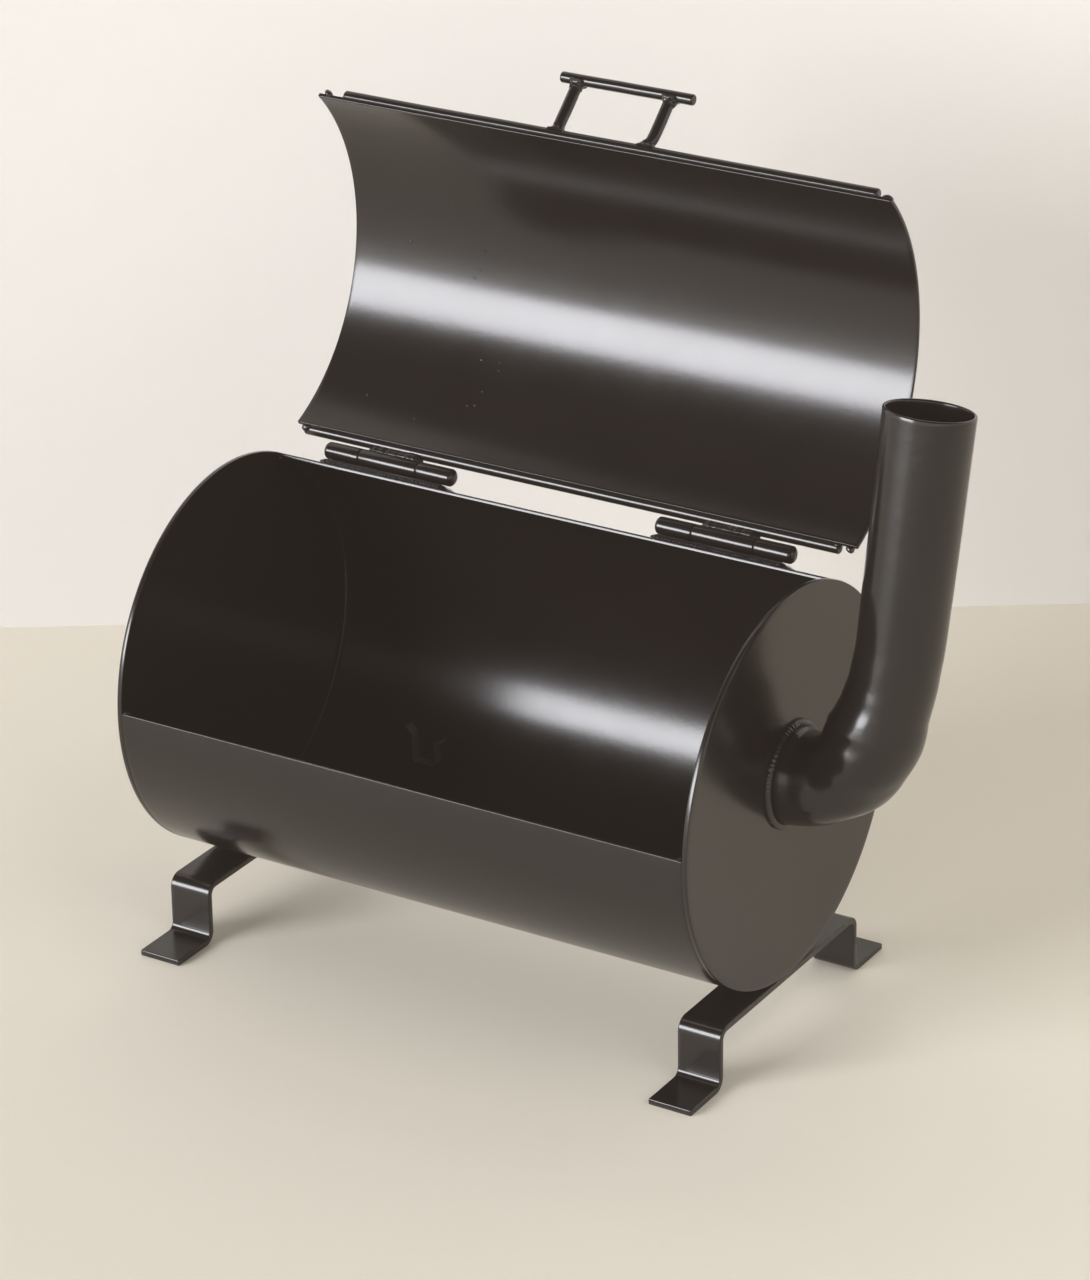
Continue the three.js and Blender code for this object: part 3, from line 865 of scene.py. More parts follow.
def grown(name, tree_name, base, place, **inputs):
    """The plain mesh that a geometry tree makes from a starting mesh."""
    tree = tree_named(tree_name)
    source = bpy.data.objects.new(name + "_base", base)
    bpy.context.scene.collection.objects.link(source)
    step = source.modifiers.new("grow", "NODES")
    step.node_group = tree
    for socket in tree.interface.items_tree:
        key = socket.name.replace(" ", "_").lower()
        if socket.in_out == "INPUT" and key in inputs:
            step[socket.identifier] = inputs[key]
    graph = bpy.context.evaluated_depsgraph_get()
    mesh = bpy.data.meshes.new_from_object(source.evaluated_get(graph), depsgraph=graph)
    source.modifiers.clear()
    bpy.data.objects.remove(source)
    mesh.name = name
    mesh.transform(place)
    return mesh


def edge_line(lines, closed):
    """A mesh of edges only that follows lines of points."""
    points, edges = [], []
    for line in lines:
        start = len(points)
        points.extend(tuple(p) for p in line)
        edges.extend((start + k, start + k + 1) for k in range(len(line) - 1))
        if closed:
            edges.append((start + len(line) - 1, start))
    mesh = bpy.data.meshes.new("line")
    mesh.from_pydata(points, edges, [])
    return mesh


# ------------------------------------------------------------------ ways to make a piece


def made(name, shape, place, body, *stands_for, slot="gloss_black", sharp=50, bevel=0.0):
    """A closed shape, moved to its place, as a piece."""
    piece(name, solid(name, *shape, place, sharp), body, slot, *stands_for, bevel=bevel)


def rolled(name, body, stands_for, wall, **inputs):
    """A rolled sheet of a wall thickness as a piece."""
    mesh = grown(name, "rolled_sheet", bpy.data.meshes.new("empty"), BODY_PLACE[body],
                 material=finish_of("gloss_black"), **inputs)
    piece(name, mesh, body, "gloss_black", stands_for, bevel=settings().drum.edge, wall=wall)


def weld(name, lines, body, *stands_for, width, seed, closed=False, pitch=1.1 * MM,
         ripple=0.16, lumps=0.22):
    """Weld beads along lines of points as a piece."""
    mesh = grown(
        name, "weld_bead", edge_line(lines, closed), BODY_PLACE[body], width=width, pitch=pitch,
        ripple=ripple, lumps=lumps, seed=seed, closed=float(closed),
        material=finish_of("weld_black"),
    )
    piece(name, mesh, body, "weld_black", *stands_for)


def dabs(name, points, place, body, size, seed, unevenness=0.5):
    """Lumps of weld at points as a piece."""
    mesh = bpy.data.meshes.new("points")
    mesh.from_pydata([tuple(p) for p in points], [], [])
    mesh = grown(
        name, "weld_dabs", mesh, place, size=size, unevenness=unevenness, seed=seed,
        material=finish_of("weld_black"),
    )
    piece(name, mesh, body, "weld_black")


def arc(x, radius, start, end, steps):
    """Points round the drum axis."""
    return [at_round(x, radius, start + (end - start) * k / steps) for k in range(steps + 1)]

# ------------------------------------------------------------------ drum


class SMOKER_OT_drum_sheet(bpy.types.Operator):
    """Roll the drum sheet"""

    bl_idname = "smoker.drum_sheet"
    bl_label = "Drum sheet"

    def execute(self, context):
        drum = settings().drum
        half = HALF_LENGTH - PLATE - drum.gap * 0.1
        rolled(
            "drum_sheet", "barrel", "barrel_shell", drum.sheet, length=2 * half,
            radius=DRUM_RADIUS, start=drum.front_rim, end=drum.rear_rim + 2 * math.pi,
            steps_along=110, steps_round=190, waviness=drum.waviness, seed=3.0,
        )
        return {"FINISHED"}


def flue_centre():
    """Centre of the flue hole and of the chimney's root, from the drum axis."""
    chimney = settings().chimney
    return Vector((0, 0, chimney.rise + tube_shape(0)[1] * chimney.radius))


class SMOKER_OT_end_plates(bpy.types.Operator):
    """Cut the two round end plates, the right one with its flue hole"""

    bl_idname = "smoker.end_plates"
    bl_label = "End plates"

    def execute(self, context):
        drum, chimney = settings().drum, settings().chimney
        flue = (flue_centre(), chimney.radius - chimney.wall)
        radius = DRUM_RADIUS - 0.02 * MM
        middle = HALF_LENGTH - PLATE / 2 - 0.8 * drum.plate_warp
        for side, way, hole in (("left", -1, None), ("right", 1, flue)):
            shape = plate(radius, PLATE, drum.plate_edge, drum.plate_warp, way * 4.3, hole)
            place = ON_DRUM @ Matrix.Translation(X_WAY * (way * middle))
            made(f"{side}_end_plate", shape, place, "barrel", f"{side}_end_disc", sharp=35)
        return {"FINISHED"}


class SMOKER_OT_seams(bpy.types.Operator):
    """Weld the sheet to the end plates from inside, with a dab at each rim corner"""

    bl_idname = "smoker.seams"
    bl_label = "Seam welds"

    def execute(self, context):
        drum = settings().drum
        radius = DRUM_RADIUS - drum.sheet - drum.seam * 0.3
        for side, way in (("left", -1), ("right", 1)):
            x = way * (HALF_LENGTH - PLATE - drum.seam * 0.32)
            line = arc(x, radius, drum.front_rim + 0.02, drum.rear_rim + 2 * math.pi - 0.02, 200)
            weld(f"{side}_seam_bead", [line], "barrel", f"{side}_seam_weld",
                 width=drum.seam, seed=5.0 + way)
        deep = DRUM_RADIUS - 1.9 * MM
        corners = [
            at_round(way * (HALF_LENGTH - PLATE - 1.6 * MM), deep, turn)
            for way in (-1, 1)
            for turn in (drum.front_rim + 0.012, drum.rear_rim - 0.012)
        ]
        dabs("rim_corner_dabs", corners, ON_DRUM, "barrel", size=1.5 * MM, seed=4)
        return {"FINISHED"}


# ------------------------------------------------------------------ feet


class SMOKER_OT_feet(bpy.types.Operator):
    """Bend the two feet from flat bar and weld them under the drum"""

    bl_idname = "smoker.feet"
    bl_label = "Feet"

    def execute(self, context):
        foot, drum = settings().foot, settings().drum
        half = foot.thickness / 2
        leg = foot.span / 2 - half
        tip = leg + foot.pad + half
        top = -(DRUM_RADIUS + drum.gap)
        bar, pad = top - half, top - foot.height + half
        corners = [(-tip, pad), (-leg, pad), (-leg, bar), (leg, bar), (leg, pad), (tip, pad)]
        line = bent_line([(y + foot.set_back, z) for y, z in corners], foot.bend, 10, 4)
        foot_x = HALF_LENGTH - foot.inset
        for side, way in (("left", -1), ("right", 1)):
            shape = strip(line, foot.thickness, foot.width, Y_WAY, Z_WAY, X_WAY, rows=6)
            place = ON_DRUM @ Matrix.Translation(X_WAY * (way * foot_x + foot.shift))
            made(f"foot_{side}", shape, place, "barrel", f"foot_strip_{side}", bevel=foot.edge)
            beads = []
            for edge in (-1, 1):
                x = way * foot_x + foot.shift + edge * (foot.width / 2 + 0.5 * MM)
                if abs(x) < HALF_LENGTH - 2.0 * MM:
                    beads.append([Vector((x, foot.weld * t, top - 0.45 * MM))
                                  for t in (-0.5, -0.25, 0, 0.25, 0.5)])
            weld(f"foot_bead_{side}", beads, "barrel", f"foot_weld_{side}",
                 width=3.0 * MM, seed=11.0 + way, pitch=1.5 * MM)
        return {"FINISHED"}


# ------------------------------------------------------------------ chimney

# Along the chimney, with 0 at its root, 1 at the end of the elbow and 2 at the top: tube radius
# against the stack's, and how far the centre line is pulled to the inside of the bend, in radii.
TUBE_SHAPE = (
    (0.00, 1.08, 0.175),
    (0.10, 1.03, 0.160),
    (0.29, 0.99, 0.145),
    (0.48, 1.02, 0.155),
    (0.68, 1.05, 0.205),
    (0.87, 1.07, 0.215),
    (1.00, 1.03, 0.18),
    (1.05, 0.98, 0.09),
    (1.12, 0.95, 0.00),
    (1.23, 0.94, -0.06),
    (1.55, 0.965, -0.045),
    (2.00, 0.995, 0.0),
)
STATIONS_PER_MM = (0.9, 0.5)  # on the elbow, on the stack
TUBE_SIDES = 96


def tube_shape(part):
    """Radius share and inward pull at a place along the chimney."""
    places, sizes, pulls = zip(*TUBE_SHAPE)
    return float(np.interp(part, places, sizes)), float(np.interp(part, places, pulls))


def chimney_line(chimney):
    """Stations along the chimney: centre, direction and place along it. Also the stack's lean."""
    rising = Vector((0, math.sin(chimney.lean_back), math.cos(chimney.lean_back)))
    turn = math.pi / 2 - chimney.lean_out
    root = X_WAY * HALF_LENGTH + Vector((0, 0, chimney.rise))
    start, bend = root + X_WAY * chimney.stub, chimney.bend
    stations = [(root, X_WAY, 0.0)]
    steps = round(bend * turn / MM * STATIONS_PER_MM[0])
    for k in range(steps + 1):
        swing = turn * k / steps
        centre = start + X_WAY * (bend * math.sin(swing)) + rising * (bend * (1 - math.cos(swing)))
        way = X_WAY * math.cos(swing) + rising * math.sin(swing)
        stations.append((centre, way, k / steps))
    centre, way = stations[-1][:2]
    steps = round(chimney.stack / MM * STATIONS_PER_MM[1])
    for k in range(1, steps + 1):
        share_up = k / steps
        stations.append((centre + way * (chimney.stack * share_up), way, 1 + share_up))
    return stations, rising


def chimney_skin(chimney):
    """The tube's outer and inner rings, hammered on the elbow and slightly uneven above it."""
    stations, rising = chimney_line(chimney)
    side = X_WAY.cross(rising).normalized()
    outer, inner = [], []
    for centre, way, part in stations:
        size, pull = tube_shape(part)
        inside_of_bend = side.cross(way).normalized()
        centre = centre + inside_of_bend * (pull * chimney.radius)
        radius = chimney.radius * size
        if part <= 1:
            hammered = math.exp(-(((part - 0.55) / 0.42) ** 2))
        else:
            hammered = 0.3 * math.exp(-(part - 1) * 5)
        ring, bore = [], []
        for k in range(TUBE_SIDES):
            turn = 2 * math.pi * k / TUBE_SIDES
            spoke = side * math.cos(turn) + inside_of_bend * math.sin(turn)
            spot = centre + spoke * radius
            wide = noise.noise(spot / (15 * MM) + Vector((3.1, 0, 0)))
            fine = noise.noise(spot / (7 * MM) + Vector((0, 8.4, 0)))
            push = chimney.dent * hammered * (wide * 1.5 + fine * 0.45 - 0.12)
            push += 0.10 * MM * noise.noise(spot / (26 * MM))
            ring.append(centre + spoke * (radius + push))
            bore.append(centre + spoke * (radius + push - chimney.wall))
        outer.append(ring)
        inner.append(bore)
    return outer, inner


class SMOKER_OT_chimney(bpy.types.Operator):
    """Bend the chimney tube and weld it to the right end plate"""

    bl_idname = "smoker.chimney"
    bl_label = "Chimney"

    def execute(self, context):
        chimney = settings().chimney
        outer, inner = chimney_skin(chimney)
        up = (sum(outer[-1], Vector()) - sum(outer[-2], Vector())).normalized()
        spokes = [(o - i) / 2 for o, i in zip(outer[-1], inner[-1])]
        lip = []
        for k in range(1, 6):
            out, rise = math.cos(math.pi * k / 6), math.sin(math.pi * k / 6)
            lip.append([o + s * (out - 1) + up * (s.length * rise)
                        for o, s in zip(outer[-1], spokes)])
        drop = up * chimney.wall / 2
        mouth = [[p - drop for p in ring] for ring in (outer[-1], *lip, inner[-1])]
        shape = loft([*outer[:-1], *mouth, *reversed(inner[:-1])], closed=True)
        made("chimney_tube", shape, ON_DRUM, "barrel", "chimney_pipe", slot="chimney_black",
             sharp=60)

        radius = chimney.radius * tube_shape(0)[0] + chimney.collar * 0.22
        root = X_WAY * (HALF_LENGTH + 0.35 * MM) + flue_centre()
        ring = circle(root, radius, Y_WAY, Z_WAY, 120)
        weld("chimney_bead", [ring], "barrel", "chimney_collar", width=chimney.collar, seed=21.0,
             closed=True, pitch=1.7 * MM, ripple=0.10, lumps=0.14)
        return {"FINISHED"}


# ------------------------------------------------------------------ hinges


def hinge_ring():
    """Distance of the hinge line from the drum axis."""
    hinge, drum = settings().hinge, settings().drum
    return DRUM_RADIUS + 2 * drum.gap + hinge.leaf + hinge.radius


KNUCKLE_SOFT = 0.35 * MM  # rounding where a knuckle's flat end meets its side
KNUCKLE_SIDES = 48


def end_knuckle(hinge, gap):
    """A bullet-nosed knuckle with the pin's bore, growing along X from zero."""
    bore, straight = hinge.pin + gap, hinge.end - hinge.nose
    profile = [(0.0, hinge.pin_grip), (bore, hinge.pin_grip), (bore, 0.0)]
    profile += soft_corner(hinge.radius, KNUCKLE_SOFT, 0.0)
    profile += [(hinge.radius, straight * t) for t in (0.3, 0.6)]
    profile += round_end(hinge.radius, straight, hinge.nose, 9)
    return turned(profile, KNUCKLE_SIDES)


def middle_knuckle(hinge, gap):
    """The open-ended knuckle between the two end ones, centred on X zero."""
    bore, half = hinge.pin + gap, hinge.middle / 2
    rising = soft_corner(hinge.radius, KNUCKLE_SOFT, -half)
    falling = [(r, -x) for r, x in reversed(rising)]
    profile = [(bore, -half), *rising, (hinge.radius, 0.0), *falling, (bore, half)]
    return turned(profile, KNUCKLE_SIDES, closed=True)


class SMOKER_OT_hinges(bpy.types.Operator):
    """Turn the bullet hinges: end knuckles on the drum, middle knuckles on the lid"""

    bl_idname = "smoker.hinges"
    bl_label = "Hinges"

    def execute(self, context):
        hinge, drum, lid = settings().hinge, settings().drum, settings().lid
        start = hinge.middle / 2 + drum.gap
        overall = hinge.middle + 2 * (hinge.end + drum.gap)
        half, slope, seat = overall / 2 - 1.0 * MM, 2.5 * MM, DRUM_RADIUS + drum.gap
        low, high = seat - 0.4 * MM, seat + hinge.leaf / 2
        leaf_corners = [(-half, low), (slope - half, high), (half - slope, high), (half, low)]
        leaf_line = bent_line(leaf_corners, 2.0 * MM, 4, 12)
        seat_beads = []
        for side, way in (("left", -1), ("right", 1)):
            hinge_x = way * hinge.spread / 2 - hinge.shift
            centre = at_round(hinge_x, hinge_ring(), hinge.place)
            for name, direction in (("near", -1), ("far", 1)):
                turn = Matrix.Rotation(math.pi if direction < 0 else 0.0, 4, "Z")
                place = ON_DRUM @ Matrix.Translation(centre + X_WAY * (direction * start)) @ turn
                made(f"{side}_hinge_{name}", end_knuckle(hinge, drum.gap), place, "barrel",
                     f"hinge_{side}_knuckle_{name}")

            shape = strip(leaf_line, hinge.leaf, hinge.leaf_width, X_WAY, outward(hinge.place),
                          round_way(hinge.place), rows=4)
            shape = roughened(shape, 0.12 * MM, 3 * MM, 6.0 + way)
            made(f"{side}_hinge_leaf", shape, ON_DRUM @ Matrix.Translation(X_WAY * hinge_x),
                 "barrel", f"hinge_{side}_leaf", bevel=0.4 * MM)
            made(f"{side}_hinge_middle", middle_knuckle(hinge, drum.gap),
                 ON_LID @ Matrix.Translation(centre), "lid", f"hinge_{side}_knuckle_middle")

            between = at_round(hinge_x, rod_ring(), rear_rod_angle()) - centre
            at = centre + between.normalized() * ((hinge.radius + between.length - lid.rod) / 2)
            line = [at + X_WAY * (hinge.middle * (t - 0.5) * 0.94) for t in np.linspace(0, 1, 12)]
            weld(f"{side}_hinge_web", [line], "lid", f"hinge_{side}_tab",
                 width=4.4 * MM, seed=31.0 + way, pitch=3.1 * MM, ripple=0.10, lumps=0.3)

            for edge in (-1, 1):
                turn = hinge.place + edge * (hinge.leaf_width / 2 + 0.35 * MM) / DRUM_RADIUS
                seat_beads.append([
                    at_round(hinge_x + overall * (t - 0.5) * 0.94, DRUM_RADIUS + 0.35 * MM, turn)
                    for t in np.linspace(0, 1, 12)
                ])
        weld("hinge_seat_beads", seat_beads, "barrel", width=1.9 * MM, seed=41.0, pitch=1.6 * MM)
        for side in ("left", "right"):
            pin = frame["nodes"][f"hinge_{side}_pin"]
            pin.data.materials.clear()
            pin.data.materials.append(finish_of("pin_steel"))
        return {"FINISHED"}


# ------------------------------------------------------------------ clip


class SMOKER_OT_clip(bpy.types.Operator):
    """Bend the spring clip and weld it to the drum floor"""

    bl_idname = "smoker.clip"
    bl_label = "Spring clip"

    def execute(self, context):
        clip, drum = settings().clip, settings().drum
        inside = DRUM_RADIUS - drum.sheet
        y = inside * math.cos(clip.turn)
        under = -math.sqrt(inside**2 - (y + clip.depth / 2) ** 2) + drum.gap
        base, half = under + clip.strip / 2, clip.mouth / 2
        corners = [
            (-half - clip.lip, base + clip.left_leg),
            (-half, base + clip.left_leg - clip.lip),
            (-half, base),
            (half, base),
            (half, base + clip.right_leg - clip.lip / 2),
            (half + clip.lip, base + clip.right_leg),
        ]
        line = bent_line(corners, clip.bend, 8, 3)
        shape = strip(line, clip.strip, clip.depth, X_WAY, Z_WAY, Y_WAY, rows=3)
        mesh = solid("clip", *shape, ON_DRUM @ Matrix.Translation((clip.x, y, 0)), 50)
        # Painted highlight: the clip is coloured pale so it shows as a bright line.
        mesh.materials.append(finish_of("clip_worn"))
        piece("clip", mesh, "barrel", "gloss_black", "clip_strip", bevel=0.2 * MM)

        lines = []
        for edge in (-1, 1):
            edge_y = y + edge * clip.depth * 0.42
            height = -math.sqrt(inside**2 - edge_y**2) + 0.5 * MM
            lines.append([Vector((clip.x + half * 0.9 * t, edge_y, height))
                          for t in np.linspace(-1, 1, 8)])
        weld("clip_bead", lines, "barrel", "clip_weld", width=1.7 * MM, seed=51.0)
        return {"FINISHED"}


# ------------------------------------------------------------------ lid


def lid_outside():
    """Outside radius of the lid sheet."""
    return DRUM_RADIUS + settings().lid.clearance + settings().lid.sheet


def rod_ring():
    """Distance of the lid's rods from the drum axis, the lid being shut."""
    return lid_outside() + settings().drum.gap + settings().lid.rod


def rear_rod_angle():
    """Where the rear rod lies round the drum."""
    lid = settings().lid
    return settings().drum.rear_rim - lid.rear_lap + lid.rear_set_back / rod_ring()


def front_rod_angle():
    """Where the front rod lies round the drum."""
    lid = settings().lid
    return settings().drum.front_rim - lid.front_gap - lid.front_set_back / rod_ring()


class SMOKER_OT_lid_sheet(bpy.types.Operator):
    """Roll the half-round lid"""

    bl_idname = "smoker.lid_sheet"
    bl_label = "Lid sheet"

    def execute(self, context):
        lid, drum = settings().lid, settings().drum
        start, end = drum.rear_rim - lid.rear_lap, drum.front_rim - lid.front_gap
        rolled(
            "lid_sheet", "lid", "lid_shell", lid.sheet, length=2 * HALF_LENGTH - 0.1 * MM,
            radius=lid_outside(), start=start, end=end, steps_along=120, steps_round=110,
            waviness=lid.waviness, seed=8.0,
        )

        along, across = 25, 20
        points = [
            tuple(at_round(x, lid_outside() - lid.sheet, turn))
            for x in np.linspace(-HALF_LENGTH * 0.94, HALF_LENGTH * 0.96, along)
            for turn in np.linspace(start + 0.12, end - 0.5, across)
        ]
        firsts = [across * i + j for i in range(along - 1) for j in range(across - 1)]
        faces = [(k + across, k, k + 1, k + across + 1) for k in firsts]
        field = bpy.data.meshes.new("field")
        field.from_pydata(points, [], faces)
        mesh = grown(
            "lid_paint_nibs", "paint_nibs", field, ON_LID, count=lid.nibs, size=lid.nib_size,
            seed=12, half_length=HALF_LENGTH, material=finish_of("gloss_black"),
        )
        piece("lid_paint_nibs", mesh, "lid", "gloss_black")
        return {"FINISHED"}


class SMOKER_OT_lid_rods(bpy.types.Operator):
    """Weld the stiffening rods along the lid's long edges"""

    bl_idname = "smoker.lid_rods"
    bl_label = "Lid rods"

    def execute(self, context):
        lid, drum = settings().lid, settings().drum
        seam_height = lid_outside() + 0.45 * MM
        dab_places, tacks = [], []
        for name, turn, inset, shift, seed, way in (
            ("front", front_rod_angle(), lid.front_rod_inset, 0.0, 2.0, 1),
            ("rear", rear_rod_angle(), lid.rear_rod_inset, -lid.rear_rod_shift, 5.0, -1),
        ):
            size = 2 * (HALF_LENGTH - inset)
            shape = roughened(rod(lid.rod, size), 0.10 * MM, 45 * MM, seed)
            middle = Matrix.Translation(at_round(shift, rod_ring(), turn))
            made(f"lid_{name}_edge_rod", moved(shape, middle), ON_LID, "lid", f"lid_{name}_rod")
            seam = turn - way * (lid.rod * 0.72) / rod_ring()
            for x in np.linspace(-size / 2 + 7 * MM, size / 2 - 7 * MM, 7):
                tacks.append([at_round(shift + x + t * MM, seam_height, seam)
                              for t in (-4, -2, 0, 2, 4)])
            for side in (-1, 1):
                x = shift + side * (size / 2 - 0.8 * MM)
                dab_places.append(at_round(x, lid_outside() + 1.3 * MM, turn))
        rear, front = drum.rear_rim - lid.rear_lap, drum.front_rim - lid.front_gap
        for x, height, turn in (
            (-HALF_LENGTH + 4.0 * MM, 0.2 * MM, front - 0.014),
            (HALF_LENGTH - 3.0 * MM, 0.2 * MM, front - 0.030),
            (-HALF_LENGTH + 3.6 * MM, 0.8 * MM, rear + 0.004),
            (HALF_LENGTH - 3.6 * MM, 0.8 * MM, rear + 0.004),
        ):
            dab_places.append(at_round(x, lid_outside() + height, turn))
        weld("lid_rod_tacks", tacks, "lid", width=2.0 * MM, seed=61.0, pitch=1.4 * MM, lumps=0.3)
        dabs("lid_corner_dabs", dab_places, ON_LID, "lid", size=2.0 * MM, seed=9, unevenness=0.3)
        return {"FINISHED"}


# ------------------------------------------------------------------ handle


def handle_place():
    """Turns a handle drawn standing up along Y on the front rod into its place on the shut lid."""
    turn = front_rod_angle()
    return (
        ON_LID
        @ Matrix.Translation(at_round(-settings().handle.offset, rod_ring(), turn))
        @ Matrix.Rotation(turn, 4, "X")
    )


def post_line(x, shift, foot, head, kink):
    """Centre line of a post from foot to head, kinked above its foot when it is shifted."""
    points = []
    for t in np.linspace(0, 1, 25):
        y = foot + (head - foot) * t
        lean = 1 / (1 + math.exp((y - kink * 1.15) / (0.9 * MM)))
        points.append(Vector((x + shift * lean, y, 0)))
    return points


def weld_cone(base, radius, flare, reach, seed):
    """A concave fillet of weld round a post where it meets a rod, growing along Y from base."""
    steps, rings = 14, []
    for k in range(steps + 1):
        t = k / steps
        size = radius + flare * (1 - t) ** 2.2 + 0.12 * MM
        rings.append(circle(base + Y_WAY * (reach * t), size, X_WAY, Z_WAY, 40))
    shape = loft([[base], *rings, [base + Y_WAY * reach]])
    return roughened(shape, 0.55 * MM, 1.7 * MM, seed)


class SMOKER_OT_handle(bpy.types.Operator):
    """Weld the handle from three rods"""

    bl_idname = "smoker.handle"
    bl_label = "Handle"

    def execute(self, context):
        handle, lid = settings().handle, settings().lid
        place = handle_place()
        shape = roughened(rod(handle.radius - 0.12 * MM, handle.bar), 0.12 * MM, 14 * MM, 9.0)
        bar = moved(shape, Matrix.Translation((handle.shift, handle.reach, 0)))
        made("handle_grip", bar, place, "lid", "handle_bar")
        foot, head = lid.rod * 0.6, handle.reach - handle.radius * 0.6
        half, lumps = handle.spread / 2, []
        for side, x, shift in (("left", -half, 0.0), ("right", half, -handle.kink_shift)):
            line = post_line(x, shift, foot, head, handle.kink)
            rings = [circle(p, handle.radius, X_WAY, Z_WAY, 32) for p in line]
            shape = loft([[line[0]], *rings, [line[-1]]])
            made(f"{side}_handle_post", roughened(shape, 0.10 * MM, 9 * MM, 3.0 + x / MM), place,
                 "lid", f"handle_post_{side}")
            for end, base, way, flare, reach in (
                ("foot", line[0], 1, 1.6 * MM, 2.9 * MM),
                ("head", line[-1], -1, 1.4 * MM, 2.8 * MM),
            ):
                cone = weld_cone(base, handle.radius, flare, way * reach, x / MM + way * 7)
                made(f"{side}_handle_{end}_weld", cone, place, "lid", f"handle_weld_{side}_{end}",
                     slot="weld_black", sharp=80)
            for aside, down, over in ((0.9, 0.8, 0.5), (0.2, 1.0, -1.0)):
                lumps.append(Vector((x + handle.radius * aside,
                                     handle.reach - handle.radius * down, over * MM)))
        dabs("handle_lumps", lumps, place, "lid", size=1.35 * MM, seed=14)
        return {"FINISHED"}


# ------------------------------------------------------------------ stage

EYE = Vector((0.87984, -1.39608, 0.78509))
EYE_RIGHT = Vector((0.85380377, 0.52047214, -0.0113084))
EYE_UP = Vector((-0.20769303, 0.36046588, 0.90935579))
WALL_FOOT = Vector((-0.184, 0.270, 0))
WALL_TURN = math.radians(33.0)
WINDOW_WAY = math.radians(28), math.radians(13.9)  # to the left of straight ahead, and up
CEILING_EDGE = math.sin(math.radians(16)), math.sin(math.radians(30))
BLACK_LEVEL = (-0.0205, -0.0155, -0.0122)  # lifts the blacks a little, as a print does


def plane(name, corners, material, cuts=40):
    """A flat stage surface from four corners."""
    shape = bmesh.new()
    shape.faces.new([shape.verts.new(c) for c in corners])
    bmesh.ops.subdivide_edges(shape, edges=shape.edges, cuts=cuts, use_grid_fill=True)
    mesh = bpy.data.meshes.new(name)
    shape.to_mesh(mesh)
    shape.free()
    mesh.materials.append(material)
    thing = bpy.data.objects.new(name, mesh)
    bpy.context.scene.collection.objects.link(thing)
    return thing


def area_light(name, place, target, width, height, radiance, tint):
    """A large soft light at a place, turned to a target, of a brightness set by its face."""
    lamp = bpy.data.lights.new(name, "AREA")
    lamp.shape = "RECTANGLE"
    lamp.size, lamp.size_y = width, height
    lamp.energy = radiance * math.pi * width * height
    lamp.color = tint
    thing = bpy.data.objects.new(name, lamp)
    bpy.context.scene.collection.objects.link(thing)
    thing.location = place
    thing.rotation_mode = "QUATERNION"
    thing.rotation_quaternion = (target - place).to_track_quat("-Z", "Y")
    return thing


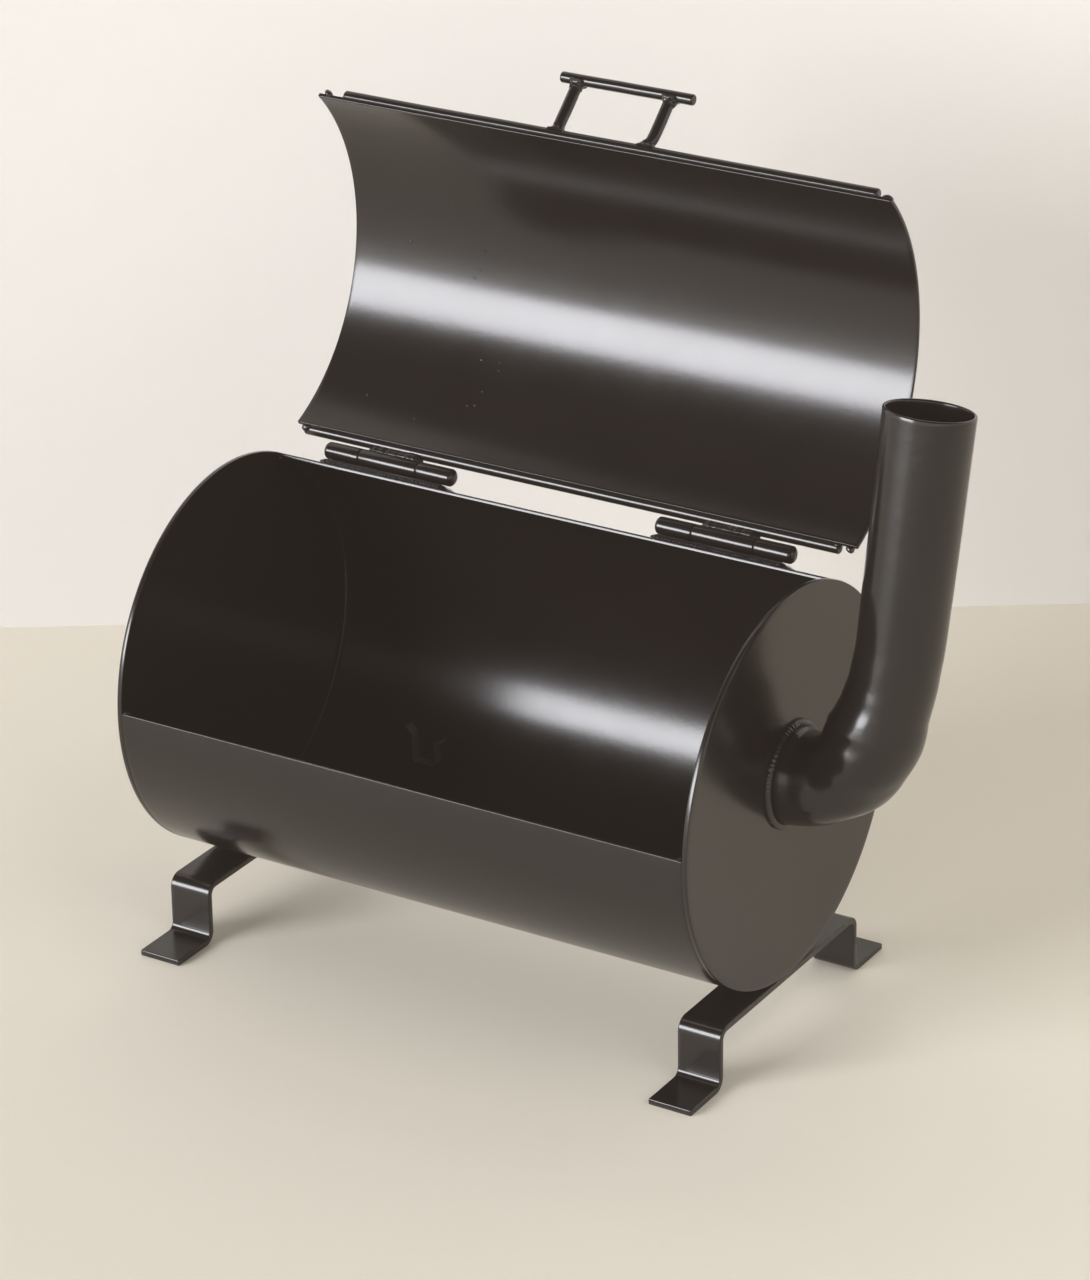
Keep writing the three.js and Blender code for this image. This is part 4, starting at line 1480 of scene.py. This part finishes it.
class SMOKER_OT_stage(bpy.types.Operator):
    """Set the table, the wall, the window light and the camera"""

    bl_idname = "smoker.stage"
    bl_label = "Stage"

    def execute(self, context):
        look = settings().stage
        scene = context.scene
        along = Vector((math.cos(WALL_TURN), math.sin(WALL_TURN), 0))
        near = Vector((along.y, -along.x, 0))
        left, right = WALL_FOOT - along * 4, WALL_FOOT + along * 4
        # The last number in each pale_matt call is painted light: how much paler the surface grows
        # towards +X.
        table = plane("table", [left + near * 6, right + near * 6, right, left],
                      pale_matt("table_paint", look.table, 0.06, 0.3))
        tall = Vector((0, 0, 0.9))
        wall = plane("wall", [left, right, right + tall, left + tall],
                     pale_matt("wall_paint", look.wall, 0.06, 0.9, from_behind=True))

        world = bpy.data.worlds.new("room")
        world.use_nodes = True
        world.node_tree.nodes.clear()
        book = NodeBook(world.node_tree)
        way = book.add("ShaderNodeTexCoord", output="Generated")
        upward = book.add("ShaderNodeSeparateXYZ", {}, {"Vector": way}, output="Z")
        overhead = upward.rise(*CEILING_EDGE)
        level = book.mix(overhead, opaque((look.room,) * 3), opaque((look.ceiling,) * 3))
        tint = book.mix(1.0, level, (1.0, 0.965, 0.93, 1.0))
        tint.socket.node.blend_type = "MULTIPLY"
        air = book.add("ShaderNodeBackground", {}, {"Color": tint, "Strength": 1.0})
        book.add("ShaderNodeOutputWorld", {}, {"Surface": air})
        scene.world = world

        side, height = WINDOW_WAY
        way = Vector((-math.sin(side) * math.cos(height), -math.cos(side) * math.cos(height),
                      math.sin(height)))
        target = AXIS + Vector((0, 0.03, 0.05))
        area_light("window", target + way * 6.0, target, 3.5, 2.1, look.window, (0.95, 0.955, 1.0))

        fill = area_light("fill", AXIS + Vector((1.1, -0.3, 1.2)), AXIS, 1.2, 1.2, look.fill,
                          (1.0, 0.98, 0.96))
        fill.visible_glossy = False

        camera = bpy.data.objects.new("camera", bpy.data.cameras.new("camera"))
        scene.collection.objects.link(camera)
        camera.data.lens = look.lens
        camera.data.sensor_width = 36
        camera.data.clip_start, camera.data.clip_end = 0.05, 30
        facing = Matrix((EYE_RIGHT, EYE_UP, EYE_RIGHT.cross(EYE_UP))).transposed().to_4x4()
        camera.matrix_world = Matrix.Translation(AXIS + EYE) @ facing
        scene.camera = camera
        scene.view_settings.view_transform = "Standard"
        scene.view_settings.use_curve_mapping = True
        scene.view_settings.curve_mapping.black_level = BLACK_LEVEL
        scene.view_settings.curve_mapping.update()
        return {"FINISHED"}


# ------------------------------------------------------------------ panel and start


PIECE_OPERATORS = (
    SMOKER_OT_drum_sheet,
    SMOKER_OT_end_plates,
    SMOKER_OT_seams,
    SMOKER_OT_feet,
    SMOKER_OT_chimney,
    SMOKER_OT_hinges,
    SMOKER_OT_clip,
    SMOKER_OT_lid_sheet,
    SMOKER_OT_lid_rods,
    SMOKER_OT_handle,
    SMOKER_OT_stage,
)


class SMOKER_PT_panel(bpy.types.Panel):
    """Buttons for the smoker's pieces"""

    bl_idname = "SMOKER_PT_panel"
    bl_label = "Smoker"
    bl_space_type = "VIEW_3D"
    bl_region_type = "UI"
    bl_category = "Smoker"

    def draw(self, context):
        for operator in PIECE_OPERATORS:
            self.layout.operator(operator.bl_idname)
        for group in SmokerSettings.__annotations__:
            box = self.layout.box()
            box.label(text=group.capitalize())
            values = getattr(context.scene.smoker, group)
            for name in values.bl_rna.properties.keys():
                if name not in ("rna_type", "name"):
                    box.prop(values, name)


CLASSES = (
    SmokerDrumSizes,
    SmokerLidSizes,
    SmokerHingeSizes,
    SmokerChimneySizes,
    SmokerFootSizes,
    SmokerHandleSizes,
    SmokerClipSizes,
    SmokerFinish,
    SmokerStage,
    SmokerSettings,
    *PIECE_OPERATORS,
    SMOKER_PT_panel,
)


def register():
    """Adds the smoker's classes and settings."""
    for kind in CLASSES:
        bpy.utils.register_class(kind)
    bpy.types.Scene.smoker = PointerProperty(type=SmokerSettings)


def unregister():
    """Takes them away again."""
    del bpy.types.Scene.smoker
    for kind in reversed(CLASSES):
        bpy.utils.unregister_class(kind)


def main():
    """Builds the whole smoker."""
    register()
    for operator in PIECE_OPERATORS:
        group, name = operator.bl_idname.split(".")
        getattr(getattr(bpy.ops, group), name)()


if __name__ == "__main__":
    main()
